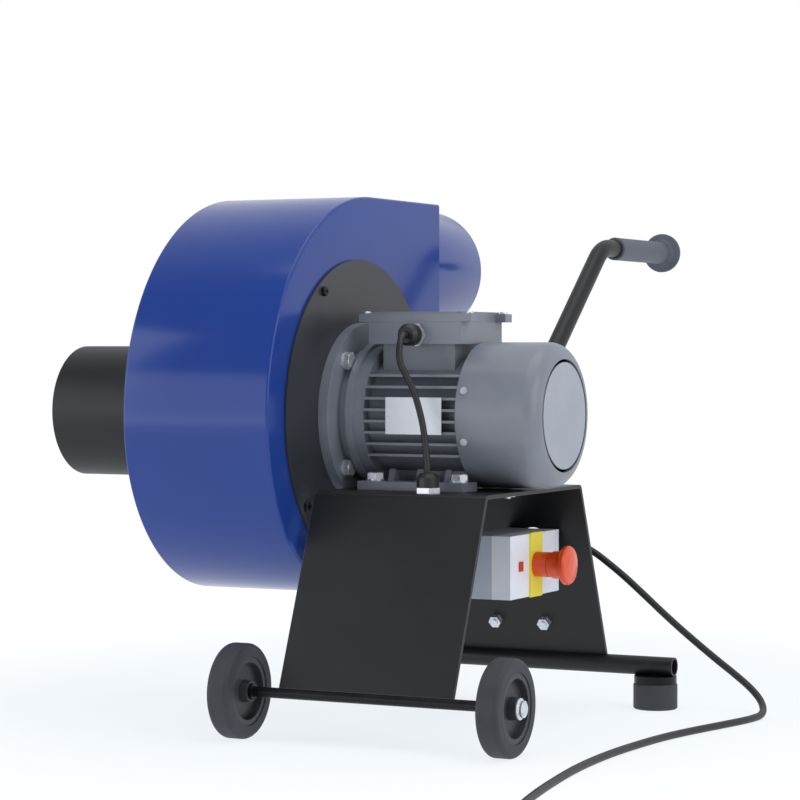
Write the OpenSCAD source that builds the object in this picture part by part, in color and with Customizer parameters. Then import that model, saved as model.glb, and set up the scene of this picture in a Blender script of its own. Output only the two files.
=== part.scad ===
// Portable fume extraction fan: a scroll fan on a foot and flange mounted motor,
// carried by a bent steel stand with two wheels, two rubber feet and a pull handle.
// X runs along the fan axis with the motor at +X, wheels at -Y, handle at +Y, floor at Z 0.

/* [Fan casing] */
// Depth of the scroll casing over its two side sheets
casing_depth = 177; // [165:1:220]
// Thickness of the side sheets, whose rim is rounded over its whole thickness
side_sheet = 3; // [2:0.5:4]
// Thickness of the wrapper sheet
wrapper_sheet = 2; // [1.5:0.5:3]
// Radius of the scroll's top arc
scroll_top_r = 240; // [234:1:255]
// Radius of the scroll's arc from the wheel side round to the tongue
scroll_side_r = 192.5; // [190:0.5:198]
// Angle at which the top arc runs over into the side arc
scroll_join_a = 187; // [180:1:195]
// Distance of the top arc's centre from the fan axis, towards the outlet
scroll_shift = 34.5; // [30:0.5:38]
// Distance from the fan axis to the outlet end of the casing
outlet_reach = 208; // [200:1:240]
// Height of the outlet duct over its sheets
outlet_h = 151; // [151:1:156]
// Radius of the round nose of the cut-off tongue
tongue_r = 9; // [6:0.5:12]

/* [Ducts] */
// Outer diameter of both duct spigots
duct_d = 149; // [140:1:150]
// Sheet thickness of the spigots
duct_wall = 2; // [1.5:0.5:3]
// Length of the outlet spigot
outlet_len = 149; // [60:1:200]
// Length of the inlet pipe
inlet_len = 178; // [60:1:220]
// Diameter of the inlet pipe's bolting flange
inlet_flange_d = 190; // [180:1:210]
// Throat diameter of the inlet cone
cone_throat_d = 138; // [130:1:142]

/* [Impeller] */
// Outer diameter of the impeller
impeller_d = 300; // [280:1:306]
// Width of the blades at the impeller's rim
blade_rim_w = 52; // [40:1:60]
// Width of the blades at the impeller's eye
blade_eye_w = 74; // [66:1:80]
// Number of backward curved blades
blade_n = 9; // [6:1:12]
// Thickness of the impeller's sheets
impeller_sheet = 2; // [1.5:0.5:3]
// Radius to which each blade is rolled
blade_bow_r = 105; // [95:1:130]

/* [Motor] */
// Height of the shaft over the motor's feet
shaft_height = 80; // [80:1:90]
// Shaft diameter
shaft_d = 19; // [17:1:22]
// Length of the shaft end in front of the flange
shaft_end = 40; // [38:1:46]
// Diameter of the motor's flange
flange_d = 200; // [196:1:210]
// Thickness of the motor's flange
flange_t = 11; // [8:0.5:14]
// Bolt circle of the flange
flange_pcd = 165; // [160:1:170]
// Clearance hole in the flange
flange_hole_d = 12; // [11:0.5:13]
// Register diameter of the flange
register_d = 130; // [126:1:134]
// Distance from the flange face to the first foot hole
foot_setback = 50; // [48:1:54]
// Foot hole spacing along the shaft
foot_pitch_x = 100; // [96:1:106]
// Foot hole spacing across the shaft
foot_pitch_y = 125; // [120:1:130]
// Radius over the tips of the cooling fins
fin_tip_r = 78; // [75:0.5:80]
// Fins on each side of the stator frame
fin_n = 8; // [6:2:8]
// Spacing of the cooling fins
fin_pitch = 12.2; // [11:0.1:12.6]
// Thickness of a cooling fin
fin_t = 3; // [2:0.25:4]
// Outer diameter of the fan cowl
cowl_d = 157; // [157:1:164]
// Where the cowl ends, measured from the flange face
cowl_end_x = 245; // [240:1:260]
// Radius of the cowl's rear edge
cowl_edge_r = 18; // [12:1:20]
// Diameter of the flat plate in the cowl's end
end_plate_d = 114.4; // [105:0.2:115]

/* [Terminal box] */
// Length of the terminal box along the shaft
tbox_l = 110; // [100:1:114]
// Width of the terminal box
tbox_w = 106; // [100:1:112]
// Height of the terminal box's lower part
tbox_h = 24; // [20:1:30]
// Height of the terminal box's lid
tlid_h = 11; // [8:0.5:14]

/* [Stand] */
// Width of the stand along the shaft
stand_w = 200; // [195:1:216]
// Thickness of the stand's plate
stand_t = 4; // [3:0.5:5]
// Height of the stand's top
stand_h = 256; // [245:1:270]
// Half the length of the stand's top, out to the bend
stand_top_half = 127; // [120:1:135]
// Half the spread of the stand's panels at the floor
stand_foot_half = 230; // [225:1:240]
// Outer radius of the stand's bends
stand_bend_r = 7; // [6:0.5:10]
// Where the stand starts, measured from the flange face
stand_x = 11.5; // [11:0.5:14]

/* [Wheels and feet] */
// Wheel diameter
wheel_d = 100; // [92:1:104]
// Wheel width
wheel_w = 25; // [20:1:30]
// Axle diameter
axle_d = 11; // [10:0.5:12]
// Clear distance between the wheels
wheel_gap = 280; // [270:1:300]
// Diameter of the foot tube and of the handle tube
tube_d = 21.3; // [20:0.1:22]
// Wall of the tubes
tube_wall = 2; // [1.5:0.5:2.6]
// Length of the foot tube
foot_tube_l = 364; // [330:1:400]
// Diameter of the rubber feet
foot_d = 50; // [40:1:55]
// Height of the rubber of a foot
foot_rubber_h = 29; // [26:1:30]
// Height of the metal cup of a foot
foot_cup_h = 8.4; // [8:0.1:11]
// Distance from the foot tube's end to the foot's centre
foot_inset = 23; // [20:1:40]

/* [Handle] */
// Slope of the handle's rising part
handle_slope = 40.3; // [35:0.1:50]
// Height of the grip's axis over the floor
grip_z = 532; // [500:1:560]
// Distance from the fan axis to where the grip starts
grip_start_y = 475; // [460:1:500]
// Length of the grip
grip_l = 170; // [120:1:180]
// Diameter of the grip
grip_d = 28.4; // [26:0.1:32]
// Diameter of the guard disc at the grip's end
grip_disc_d = 50; // [40:1:60]
// Bend radius of the handle tube's axis
handle_bend_r = 60; // [50:1:70]

/* [Switch box] */
// Height of the switch box
box_h = 69; // [64:1:72]
// Width of the switch box
box_w = 134; // [124:1:138]
// Depth of the switch box with its cover
box_d = 64; // [56:1:70]
// Diameter of the emergency stop's mushroom head
head_d = 43; // [36:1:48]
// Travel of the emergency stop
head_travel = 4; // [2:0.5:5]

/* [Cables] */
// Diameter of the mains cable
mains_d = 8; // [7:0.5:8]
// Diameter of the motor cable
lead_d = 7; // [6:0.5:7]

/* [Hidden] */

$fn = 96;
screw_fn = 6;
cut = 1;
fit_gap = 0.05;
run_gap = 0.1;
free_gap = 0.35;

// Heights and places that follow from the sizes above
axis_h = stand_h + shaft_height;
plate_t = 3;
casing_face = -plate_t;
casing_back = casing_face - casing_depth;
casing_mid = (casing_face + casing_back) / 2;
scroll_lift = 1;
top_c = [scroll_shift, scroll_lift];
side_c = top_c + (scroll_top_r - scroll_side_r) * [cos(scroll_join_a), sin(scroll_join_a)];
scroll_top = scroll_lift + scroll_top_r;
duct_floor = scroll_top - outlet_h;
duct_c = scroll_top - duct_d / 2 - free_gap;
tongue_a = asin((duct_floor - tongue_r - side_c[1]) / (scroll_side_r + tongue_r));
tongue_c = side_c + (scroll_side_r + tongue_r) * [cos(tongue_a), sin(tongue_a)];

// The machine frame is moved so that the origin lies under the middle of its box
box_x_min = casing_back - inlet_len;
foot_tube_mid = stand_x + stand_w / 2;
box_x_max = foot_tube_mid + foot_tube_l / 2 + max(0, foot_d / 2 - foot_inset);
panel_slope = (stand_foot_half - stand_top_half) / stand_h;
panel_a = atan(panel_slope);
wheel_z = wheel_d / 2;
axle_y = -(stand_top_half + (stand_h - wheel_z - axle_d / 2) * panel_slope - stand_t / 2);
box_y_min = axle_y - wheel_d / 2;
box_y_max = grip_start_y + grip_l;
origin_shift = [-(box_x_min + box_x_max) / 2, -(box_y_min + box_y_max) / 2, 0];

module place() { translate(origin_shift) children(); }

// Turns a flat outline drawn in the Y-Z plane, or a revolved one, so that its height runs along X
module along_x(x, z = axis_h) { translate([x, 0, z]) rotate([90, 0, 90]) children(); }

module ring(r_out, r_in, h) {
    difference() {
        cylinder(r = r_out, h = h);
        translate([0, 0, -cut]) cylinder(r = r_in, h = h + 2 * cut);
    }
}

module hex(af, h) { cylinder(d = af / cos(180 / screw_fn), h = h, $fn = screw_fn); }

// Bolt seen from its head: shank down, washer and head up
module hex_bolt(d, af, head_h, shank, washer_t) {
    translate([0, 0, -shank]) cylinder(d = d, h = shank);
    cylinder(d = af * bolt_washer_share, h = washer_t);
    intersection() {
        translate([0, 0, washer_t]) hex(af, head_h);
        translate([0, 0, washer_t]) rotate_extrude()
            polygon([[0, 0], [af * bolt_corner_share, 0], [af * bolt_corner_share, head_h * bolt_chamfer_share],
                [af * bolt_face_share, head_h], [0, head_h]]);
    }
}
bolt_washer_share = 1.15;
bolt_corner_share = 0.6;
bolt_face_share = 0.46;
bolt_chamfer_share = 0.8;

// Casing

// Side view of the scroll: two arcs that run over into each other, the top sheet and the duct floor,
// with the round nose of the tongue between the side arc and the floor. The inset lies inwards.
arc_steps = 32;
nose_steps = 8;
function arc(c, r, a0, a1, n) = [for (i = [0:n]) c + r * [cos(a0 + (a1 - a0) * i / n), sin(a0 + (a1 - a0) * i / n)]];
function scroll_line(inset, reach) = concat(
    [[reach, scroll_top - inset]],
    arc(top_c, scroll_top_r - inset, 90, scroll_join_a, arc_steps),
    arc(side_c, scroll_side_r - inset, scroll_join_a + 1, 360 + tongue_a - 1, 2 * arc_steps),
    arc(tongue_c, tongue_r + inset, 180 + tongue_a, 90, nose_steps),
    [[reach, duct_floor + inset]]);

module scroll_wrapper() {
    color("#2b4b9b") place() along_x(casing_back + side_sheet) linear_extrude(casing_depth - 2 * side_sheet)
        difference() {
            polygon(scroll_line(0, outlet_reach));
            polygon(scroll_line(wrapper_sheet, outlet_reach + cut));
        }
}

// Side sheet lying in the X-Y plane, its rim stepped back to a quarter round over the thickness
rim_steps = 3;
module side_sheet_blank() {
    t = side_sheet;
    h = t / rim_steps;
    for (i = [0:rim_steps - 1]) translate([0, 0, i * h])
        linear_extrude(h) polygon(scroll_line(t - sqrt(t * t - pow((i + 1 / 2) * h, 2)), outlet_reach));
}

casing_screw_d = 6;
motor_hole_d = impeller_d + 2 * casing_screw_d;
casing_screw_r = 159;
casing_screw_as = [37.5, 123, 217.5, 303];

module screw_ring(r, angles) {
    for (a = angles) rotate(a) translate([r, 0, 0]) children();
}

module casing_motor_side() {
    color("#2f50a3") place() along_x(casing_face - side_sheet) difference() {
        side_sheet_blank();
        translate([0, 0, -cut]) cylinder(d = motor_hole_d, h = side_sheet + 2 * cut);
        screw_ring(casing_screw_r, casing_screw_as)
            translate([0, 0, -cut]) cylinder(d = casing_screw_d, h = side_sheet + 2 * cut);
    }
}

inlet_screw_n = 6;
inlet_screw_r = (duct_d + inlet_flange_d) / 4 + duct_wall / 2;
inlet_screw_as = [for (i = [0:inlet_screw_n - 1]) i * 360 / inlet_screw_n];

module casing_inlet_side() {
    color("#2b4b9b") place() along_x(casing_back + side_sheet) mirror([0, 0, 1]) difference() {
        side_sheet_blank();
        translate([0, 0, -cut]) cylinder(d = duct_d - 2 * duct_wall, h = side_sheet + 2 * cut);
        screw_ring(inlet_screw_r, inlet_screw_as)
            translate([0, 0, -cut]) cylinder(d = casing_screw_d, h = side_sheet + 2 * cut);
    }
}

module outlet_plate() {
    w = casing_depth - 2 * side_sheet;
    h = outlet_h - 2 * wrapper_sheet;
    color("#2b4b9b") place() difference() {
        translate([casing_back + side_sheet, outlet_reach - wrapper_sheet, axis_h + duct_floor + wrapper_sheet])
            cube([w, wrapper_sheet, h]);
        translate([casing_mid, outlet_reach - wrapper_sheet - cut, axis_h + duct_c]) rotate([-90, 0, 0])
            cylinder(d = duct_d - 2 * duct_wall, h = wrapper_sheet + 2 * cut);
    }
}

module outlet_spigot() {
    color("#3a5aa8") place() translate([casing_mid, outlet_reach, axis_h + duct_c]) rotate([-90, 0, 0])
        ring(duct_d / 2, duct_d / 2 - duct_wall, outlet_len);
}

module inlet_pipe() {
    color("#2c3035") place() along_x(casing_back - inlet_len) union() {
        ring(duct_d / 2, duct_d / 2 - duct_wall, inlet_len);
        translate([0, 0, inlet_len - plate_t]) difference() {
            ring(inlet_flange_d / 2, duct_d / 2 - duct_wall, plate_t);
            screw_ring(inlet_screw_r, inlet_screw_as)
                translate([0, 0, -cut]) cylinder(d = casing_screw_d, h = plate_t + 2 * cut);
        }
    }
}

impeller_gap = 14;
cone_lap_gap = 3;
cone_len = casing_depth - side_sheet - impeller_gap - blade_eye_w - impeller_sheet - cone_lap_gap;
cone_mouth_r = duct_d / 2 - duct_wall;

module inlet_cone() {
    r0 = cone_mouth_r;
    r1 = cone_throat_d / 2;
    t = impeller_sheet;
    rim = cone_rim_w;
    color("#8f949b") place() along_x(casing_back + side_sheet) rotate_extrude()
        polygon([[r0, 0], [r0 + rim, 0], [r0 + rim, t], [r0 + t, t], [r1 + t, cone_len * cone_bend_share],
            [r1 + t, cone_len], [r1, cone_len], [r1, cone_len * cone_bend_share], [r0, t]]);
}
cone_rim_w = 6;
cone_bend_share = 0.5;

// The black plate that closes the casing and carries the motor's flange
motor_plate_d = 340;
module motor_plate() {
    color("#33373c") place() along_x(casing_face) difference() {
        cylinder(d = motor_plate_d, h = plate_t);
        translate([0, 0, -cut]) cylinder(d = register_d + 2 * fit_gap, h = plate_t + 2 * cut);
        screw_ring(casing_screw_r, casing_screw_as)
            translate([0, 0, -cut]) cylinder(d = casing_screw_d, h = plate_t + 2 * cut);
        screw_ring(flange_pcd / 2, flange_as)
            translate([0, 0, -cut]) cylinder(d = flange_bolt_d + 2 * fit_gap, h = plate_t + 2 * cut);
    }
}
flange_as = [45, 135, 225, 315];
flange_bolt_d = 10;
flange_bolt_af = 17;
flange_head_h = 7;

module socket_screw(d, shank, head_d, head_h, key_d) {
    translate([0, 0, -shank]) cylinder(d = d - 2 * fit_gap, h = shank);
    difference() {
        rotate_extrude() polygon([[0, 0], [head_d / 2, 0], [head_d / 2, head_h * screw_side_share],
            [head_d * screw_top_share, head_h], [0, head_h]]);
        translate([0, 0, head_h - head_h * screw_side_share]) hex(key_d, head_h);
    }
}
screw_side_share = 0.6;
screw_top_share = 0.42;
casing_head_d = 10.5;
casing_head_h = 4;
casing_key = 4;

module casing_screws() {
    grip = plate_t + side_sheet;
    color("#1b1d20") place() {
        along_x(0) screw_ring(casing_screw_r, casing_screw_as)
            socket_screw(casing_screw_d, grip, casing_head_d, casing_head_h, casing_key);
        along_x(casing_back - plate_t) mirror([0, 0, 1]) screw_ring(inlet_screw_r, inlet_screw_as)
            socket_screw(casing_screw_d, grip, casing_head_d, casing_head_h, casing_key);
    }
}

// Impeller, drawn with its back plate at Z 0 and its eye upwards, then turned to face the inlet
wheel_back_x = casing_face - side_sheet - impeller_gap;
eye_gap = 3;
eye_r = cone_throat_d / 2 + impeller_sheet + eye_gap;
hub_r = 30;
hub_l = 20;
blade_lean_a = 38;

module facing_inlet(x) { translate([x, 0, axis_h]) rotate([90, 0, -90]) children(); }

module shroud_profile(lift) {
    polygon([[0, -cut], [impeller_d / 2, -cut], [impeller_d / 2, blade_rim_w + lift],
        [eye_r + shroud_lip, blade_eye_w + lift], [0, blade_eye_w + lift]]);
}
shroud_lip = 6;

module blade_outline() {
    bow = blade_bow_r;
    turn = 360 / blade_n;
    for (i = [0:blade_n - 1]) rotate(i * turn)
        translate([blade_c_share * impeller_d, 0]) rotate(blade_lean_a) difference() {
            circle(bow);
            circle(bow - impeller_sheet);
            translate([-2 * bow, -2 * bow]) square([4 * bow, 2 * bow]);
        }
}
blade_c_share = 0.085;

module impeller_wheel() {
    color("#3c4148") place() facing_inlet(wheel_back_x) {
        ring(impeller_d / 2, shaft_d / 2 + casing_screw_d, impeller_sheet);
        intersection() {
            translate([0, 0, impeller_sheet - fit_gap]) linear_extrude(blade_eye_w) difference() {
                intersection() {
                    blade_outline();
                    circle(impeller_d / 2 - impeller_sheet);
                }
                circle(eye_r - shroud_lip);
            }
            rotate_extrude() shroud_profile(0);
        }
    }
}

module impeller_shroud() {
    color("#42474e") place() facing_inlet(wheel_back_x) rotate_extrude()
        polygon([[impeller_d / 2, blade_rim_w], [impeller_d / 2, blade_rim_w + impeller_sheet],
            [eye_r + shroud_lip, blade_eye_w + impeller_sheet], [eye_r + impeller_sheet, blade_eye_w + shroud_lip],
            [eye_r, blade_eye_w + shroud_lip], [eye_r, blade_eye_w + impeller_sheet],
            [eye_r + shroud_lip - impeller_sheet, blade_eye_w]]);
}

hub_bolt_n = 6;
hub_bolt_r = 22;
hub_bolt_d = 4;

module impeller_hub() {
    back = -wheel_back_x - shaft_end + hub_l;
    color("#b6bac0") place() facing_inlet(wheel_back_x) difference() {
        union() {
            translate([0, 0, impeller_sheet]) cylinder(r = hub_r, h = impeller_sheet * 2);
            translate([0, 0, -impeller_gap / 2]) cylinder(r = shaft_d / 2 + casing_screw_d - fit_gap, h = hub_l + impeller_gap / 2);
        }
        translate([0, 0, -impeller_gap]) cylinder(r = shaft_d / 2 + fit_gap, h = hub_l + 2 * impeller_gap);
    }
}

shaft_tip_x = -shaft_end;
impeller_washer_d = 28;
impeller_washer_t = 3;
module impeller_bolt() {
    hub_face_x = wheel_back_x - hub_l;
    color("#c9ccd2") place() facing_inlet(min(hub_face_x, shaft_tip_x))
        hex_bolt(shaft_thread_d, impeller_bolt_af, impeller_bolt_h, impeller_bolt_l, impeller_washer_t);
    color("#c9ccd2") place() facing_inlet(min(hub_face_x, shaft_tip_x))
        cylinder(d = impeller_washer_d, h = impeller_washer_t);
}
shaft_thread_d = 6;
impeller_bolt_af = 10;
impeller_bolt_h = 4;
impeller_bolt_l = 12;

// Motor inside
bearing_d = 47;
bearing_bore = 20;
bearing_w = 14;
bearing_x1 = 22;
bearing_x2 = 168;
core_x = 62;
core_l = 76;
rotor_r = 34;
air_gap = 0.5;
stator_out_r = 60;
fan_x = 192;
fan_w = 26;

module motor_shaft() {
    tail = fan_x + fan_w + shaft_d / 4;
    color("#b9bdc3") place() along_x(0) difference() {
        union() {
            translate([0, 0, shaft_tip_x]) cylinder(d = shaft_d, h = shaft_end + bearing_x1);
            translate([0, 0, bearing_x1]) cylinder(d = bearing_bore, h = bearing_x2 + bearing_w - bearing_x1);
            translate([0, 0, bearing_x1 + bearing_w + air_gap])
                cylinder(d = bearing_bore + 2 * shaft_step, h = bearing_x2 - bearing_x1 - bearing_w - 2 * air_gap);
            translate([0, 0, bearing_x2]) cylinder(d = fan_shaft_d, h = tail - bearing_x2);
        }
        translate([0, 0, shaft_tip_x - cut]) cylinder(d = shaft_thread_d + 2 * fit_gap, h = impeller_bolt_l + 2 * cut);
    }
}
shaft_step = 3;
fan_shaft_d = 16;

module rotor_core() {
    color("#8a8f96") place() along_x(core_x)
        ring(rotor_r, bearing_bore / 2 + shaft_step + fit_gap, core_l);
}

coil_end_l = 20;
module stator_core() {
    color("#7c6a52") place() along_x(core_x) union() {
        ring(stator_out_r, rotor_r + air_gap, core_l);
        for (z = [-coil_end_l, core_l]) translate([0, 0, z])
            ring(stator_out_r - shaft_step * 2, rotor_r + shaft_step * 2, coil_end_l);
    }
}

module motor_bearings() {
    mid = (bearing_d + bearing_bore) / 4;
    groove = (bearing_d - bearing_bore) * bearing_groove_share;
    color("#c4c8ce") place() for (x = [bearing_x1, bearing_x2]) along_x(x) difference() {
        ring(bearing_d / 2, bearing_bore / 2 + fit_gap, bearing_w);
        for (z = [-cut, bearing_w - cut]) translate([0, 0, z]) ring(mid + groove, mid - groove, 2 * cut);
    }
}
bearing_groove_share = 0.12;

module drive_end_shield() {
    color("#6d737e") place() along_x(0) difference() {
        union() {
            translate([0, 0, -register_h]) cylinder(d = register_d, h = register_h + flange_t / 2);
            cylinder(d = flange_d, h = flange_t);
            cylinder(r = shield_neck_r, h = frame_x);
            translate([0, 0, shield_ring_x]) cylinder(r = shield_ring_r, h = shield_ring_w);
            translate([0, 0, shield_ring_x]) cylinder(r = shield_body_r, h = frame_x - shield_ring_x);
        }
        translate([0, 0, -register_h - cut]) cylinder(d = shaft_d + 2 * shaft_room, h = frame_x);
        translate([0, 0, bearing_x1 - fit_gap]) cylinder(d = bearing_d + 2 * fit_gap, h = frame_x);
        translate([0, 0, bearing_x1 + bearing_w + fit_gap]) cylinder(r = stator_out_r, h = frame_x);
        screw_ring(flange_pcd / 2, flange_as)
            translate([0, 0, -cut]) cylinder(d = flange_hole_d, h = flange_t + 2 * cut);
    }
}
shaft_room = 1.5;
register_h = 3;
shield_wall = 6;
shield_ring_r = 79.5;
shield_neck_r = 72;
shield_ring_x = 21.5;
shield_ring_w = 8;
shield_body_r = 75;
frame_x = 42;
frame_l = 116;

module flange_bolts() {
    color("#d9dce2") place() along_x(flange_t) screw_ring(flange_pcd / 2, flange_as) {
        hex_bolt(flange_bolt_d - 2 * fit_gap, flange_bolt_af, flange_head_h, flange_t + plate_t + nut_h,
            washer_t);
        translate([0, 0, -flange_t - plate_t - nut_h]) difference() {
            hex(flange_bolt_af, nut_h);
            translate([0, 0, -cut]) cylinder(d = flange_bolt_d - 2 * fit_gap, h = nut_h + 2 * cut);
        }
    }
}
nut_h = 8;
washer_t = 2;

// Finned stator frame with the saddle of the terminal box and pads for the feet
saddle_l = 86;
saddle_w = 84;
tbox_top = 111.3;
box_base_z = tbox_top - tlid_h - tbox_h;
tbox_x = 37.5;
foot_pad_w = 34;
foot_t = 9.5;
barrel_r = 64;

module stator_frame() {
    fin_l = cowl_x - frame_x - free_gap;
    color("#6d737e") place() along_x(frame_x) difference() {
        union() {
            cylinder(r = barrel_r, h = frame_l);
            for (i = [0:fin_n - 1]) let (z = (i - (fin_n - 1) / 2) * fin_pitch, half = fin_half(abs(z) + fin_t / 2))
                translate([-half, z - fin_t / 2, 0]) cube([2 * half, fin_t, fin_l]);
            for (i = [0:3]) let (y = (i - 3 / 2) * fin_pitch, half = fin_half(abs(y) + fin_t / 2))
                translate([y - fin_t / 2, -half, 0]) cube([fin_t, half, fin_l]);
            translate([-saddle_w / 2, 0, tbox_x + (tbox_l - saddle_l) / 2 - frame_x])
                cube([saddle_w, box_base_z, saddle_l]);
        }
        translate([0, 0, -cut]) cylinder(r = stator_out_r + fit_gap, h = frame_l + 2 * cut);
    }
}
function fin_half(off) = sqrt(fin_tip_r * fin_tip_r - off * off);
foot_rows = [-foot_pitch_y / 2, foot_pitch_y / 2];
foot_cols = [foot_setback, foot_setback + foot_pitch_x];
foot_bolt_d = 8;
foot_bolt_af = 17;
foot_head_h = 7;

module foot_web_2d() {
    edge = foot_pitch_y / 2 + foot_pad_w / 2;
    difference() {
        union() {
            translate([foot_pitch_y / 2 - foot_pad_w / 2, -shaft_height]) square([foot_pad_w, foot_t]);
            polygon([[foot_pitch_y / 2 - foot_pad_w / 2, -shaft_height], [edge - foot_pad_w * foot_slope_share, -shaft_height + foot_t],
                [barrel_r * cos(48) + shield_wall, -barrel_r * sin(48)], [barrel_r * cos(60), -barrel_r * sin(60) - shield_wall]]);
        }
        circle(barrel_r + fit_gap);
    }
}
foot_slope_share = 0.62;

module motor_feet() {
    l = foot_pitch_x + 2 * foot_end;
    color("#656b76") place() difference() {
        for (s = [0, 1]) along_x(foot_setback - foot_end) mirror([s, 0, 0]) {
            linear_extrude(l) difference() {
                translate([foot_pitch_y / 2 - foot_pad_w / 2, -shaft_height]) square([foot_pad_w, foot_t]);
                circle(barrel_r + fit_gap);
            }
            for (z = [foot_end * 2, l / 2 - foot_web_t / 2, l - foot_end * 2 - foot_web_t]) translate([0, 0, z])
                linear_extrude(foot_web_t) difference() {
                    foot_web_2d();
                    circle(fin_tip_r + free_gap);
                }
        }
        for (x = foot_cols, y = foot_rows) translate([x, y, stand_h - cut])
            cylinder(d = foot_bolt_d + 2, h = foot_t + 2 * cut);
    }
}
foot_end = 13;
foot_web_t = 7;

module foot_bolts() {
    grip = foot_t + stand_t;
    color("#d9dce2") place() for (x = foot_cols, y = foot_rows) translate([x, y, stand_h + foot_t]) {
        hex_bolt(foot_bolt_d - 2 * fit_gap, foot_bolt_af, foot_head_h, grip + nut_h + washer_t, washer_t);
        translate([0, 0, -grip - nut_h]) difference() {
            hex(foot_bolt_af, nut_h);
            translate([0, 0, -cut]) cylinder(d = foot_bolt_d - 2 * fit_gap, h = nut_h + 2 * cut);
        }
    }
}

shield_x = frame_x + frame_l;
module fan_end_shield() {
    color("#6d737e") place() along_x(shield_x) difference() {
        union() {
            rotate_extrude() polygon([[0, 0], [shield_rear_r, 0], [shield_rear_r, shield_wall],
                [shield_rear_r - shield_wall, shield_wall * 2], [bearing_d / 2 + shield_wall, shield_back],
                [0, shield_back]]);
        }
        translate([0, 0, -cut]) cylinder(d = fan_shaft_d + 2 * shaft_room, h = shield_back + 2 * cut);
        translate([0, 0, bearing_x2 - shield_x - fit_gap - bearing_w * 2]) cylinder(d = bearing_d + 2 * fit_gap, h = bearing_w * 3 + 2 * fit_gap);
        translate([0, 0, -cut]) rotate_extrude() polygon([[0, 0], [stator_out_r, 0], [stator_out_r, cut + coil_room],
            [bearing_d / 2, cut + coil_room], [0, cut + coil_room]]);
    }
}
cowl_wall = 1.8;
cowl_x = 152;
fan_tip_gap = 6;
shield_back = 28;
shield_rear_r = cowl_d / 2 - cowl_wall - fit_gap;
coil_room = 4;

// Plastic fan with radial blades that turns under the cowl
cooling_n = 9;
module cooling_fan() {
    r = cowl_d / 2 - cowl_wall - fan_tip_gap;
    color("#3a3d42") place() along_x(fan_x) difference() {
        union() {
            cylinder(r = fan_hub_r, h = fan_w);
            cylinder(r = r * fan_disc_share, h = fan_disc_t);
            for (i = [0:cooling_n - 1]) rotate(i * 360 / cooling_n)
                translate([fan_hub_r - cut, -fan_disc_t / 2, 0]) cube([r - fan_hub_r, fan_disc_t, fan_w]);
        }
        translate([0, 0, -cut]) cylinder(d = fan_shaft_d + 2 * fit_gap, h = fan_w + 2 * cut);
    }
}
fan_hub_r = 16;
fan_disc_t = 2.5;
fan_disc_share = 0.7;

// Deep drawn cowl whose rear edge turns in to the air slot round the end plate
end_slot = 3.3;
cowl_mouth_r = end_plate_d / 2 + end_slot;
cowl_bar_n = 4;
cowl_bar_w = 8;

module cowl_2d(inset) {
    r = cowl_d / 2 - inset;
    l = cowl_end_x - cowl_x - inset;
    er = cowl_edge_r - inset;
    square([r, l - er]);
    square([r - er, l]);
    translate([r - er, l - er]) circle(er);
}

module fan_cowl() {
    difference() {
        color("#767d88") place() along_x(cowl_x) union() {
            rotate_extrude() difference() {
                cowl_2d(0);
                translate([0, -cut]) cowl_2d(cowl_wall);
                translate([0, -cut]) square([cowl_mouth_r, cowl_end_x]);
            }
            l = cowl_end_x - cowl_x;
            // Bars across the mouth that carry the end plate
            translate([0, 0, l - cowl_wall - end_bar_drop]) intersection() {
                union() for (i = [0:cowl_bar_n / 2 - 1]) rotate(45 + i * 90)
                    translate([-cowl_mouth_r - cut, -cowl_bar_w / 2, 0]) cube([2 * (cowl_mouth_r + cut), cowl_bar_w, cowl_wall]);
                cylinder(r = cowl_mouth_r + cut, h = cowl_wall);
            }
            translate([0, 0, l - cowl_wall - end_bar_drop])
                ring(cowl_mouth_r + cowl_wall, cowl_mouth_r, end_bar_drop + cowl_wall / 2);
        }
        place() at_cowl_screws() cylinder(d = cowl_screw_d, h = 2 * cowl_wall * 2, center = true);
    }
}
end_bar_drop = 3;

module cowl_end_plate() {
    color("#9aa0ab") place() along_x(cowl_end_x - end_plate_t) union() {
        cylinder(d = end_plate_d, h = end_plate_t);
        translate([0, 0, -end_bar_drop + end_plate_t]) cylinder(r = cowl_bar_w, h = end_bar_drop);
    }
}
end_plate_t = 1.5;

cowl_screw_as = [20, 160, 200, 340];
cowl_screw_d = 4;
cowl_screw_head = 8;
module cowl_screws() {
    color("#c9ccd2") place() at_cowl_screws() cowl_screw();
}
module at_cowl_screws() {
    for (a = cowl_screw_as) translate([shield_x + shield_wall / 2, (cowl_d / 2) * cos(a), axis_h + (cowl_d / 2) * sin(a)])
        rotate([a - 90, 0, 0]) children();
}
module cowl_screw() {
    cylinder(d = cowl_screw_head, h = cowl_screw_d / 2);
    translate([0, 0, -cowl_wall]) cylinder(d = cowl_screw_d - 2 * fit_gap, h = cowl_wall + fit_gap);
}

// Terminal box, drawn from its corner nearest the flange, with Z up
tbox_floor = axis_h + box_base_z;
tbox_wall = 3;
lug_w = 17;
lug_out = 12;
gland_thread_d = 16;
motor_gland_x = 93;
gland_rise_share = 0.42;
motor_gland_z = tbox_floor + tbox_h * gland_rise_share;

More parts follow.
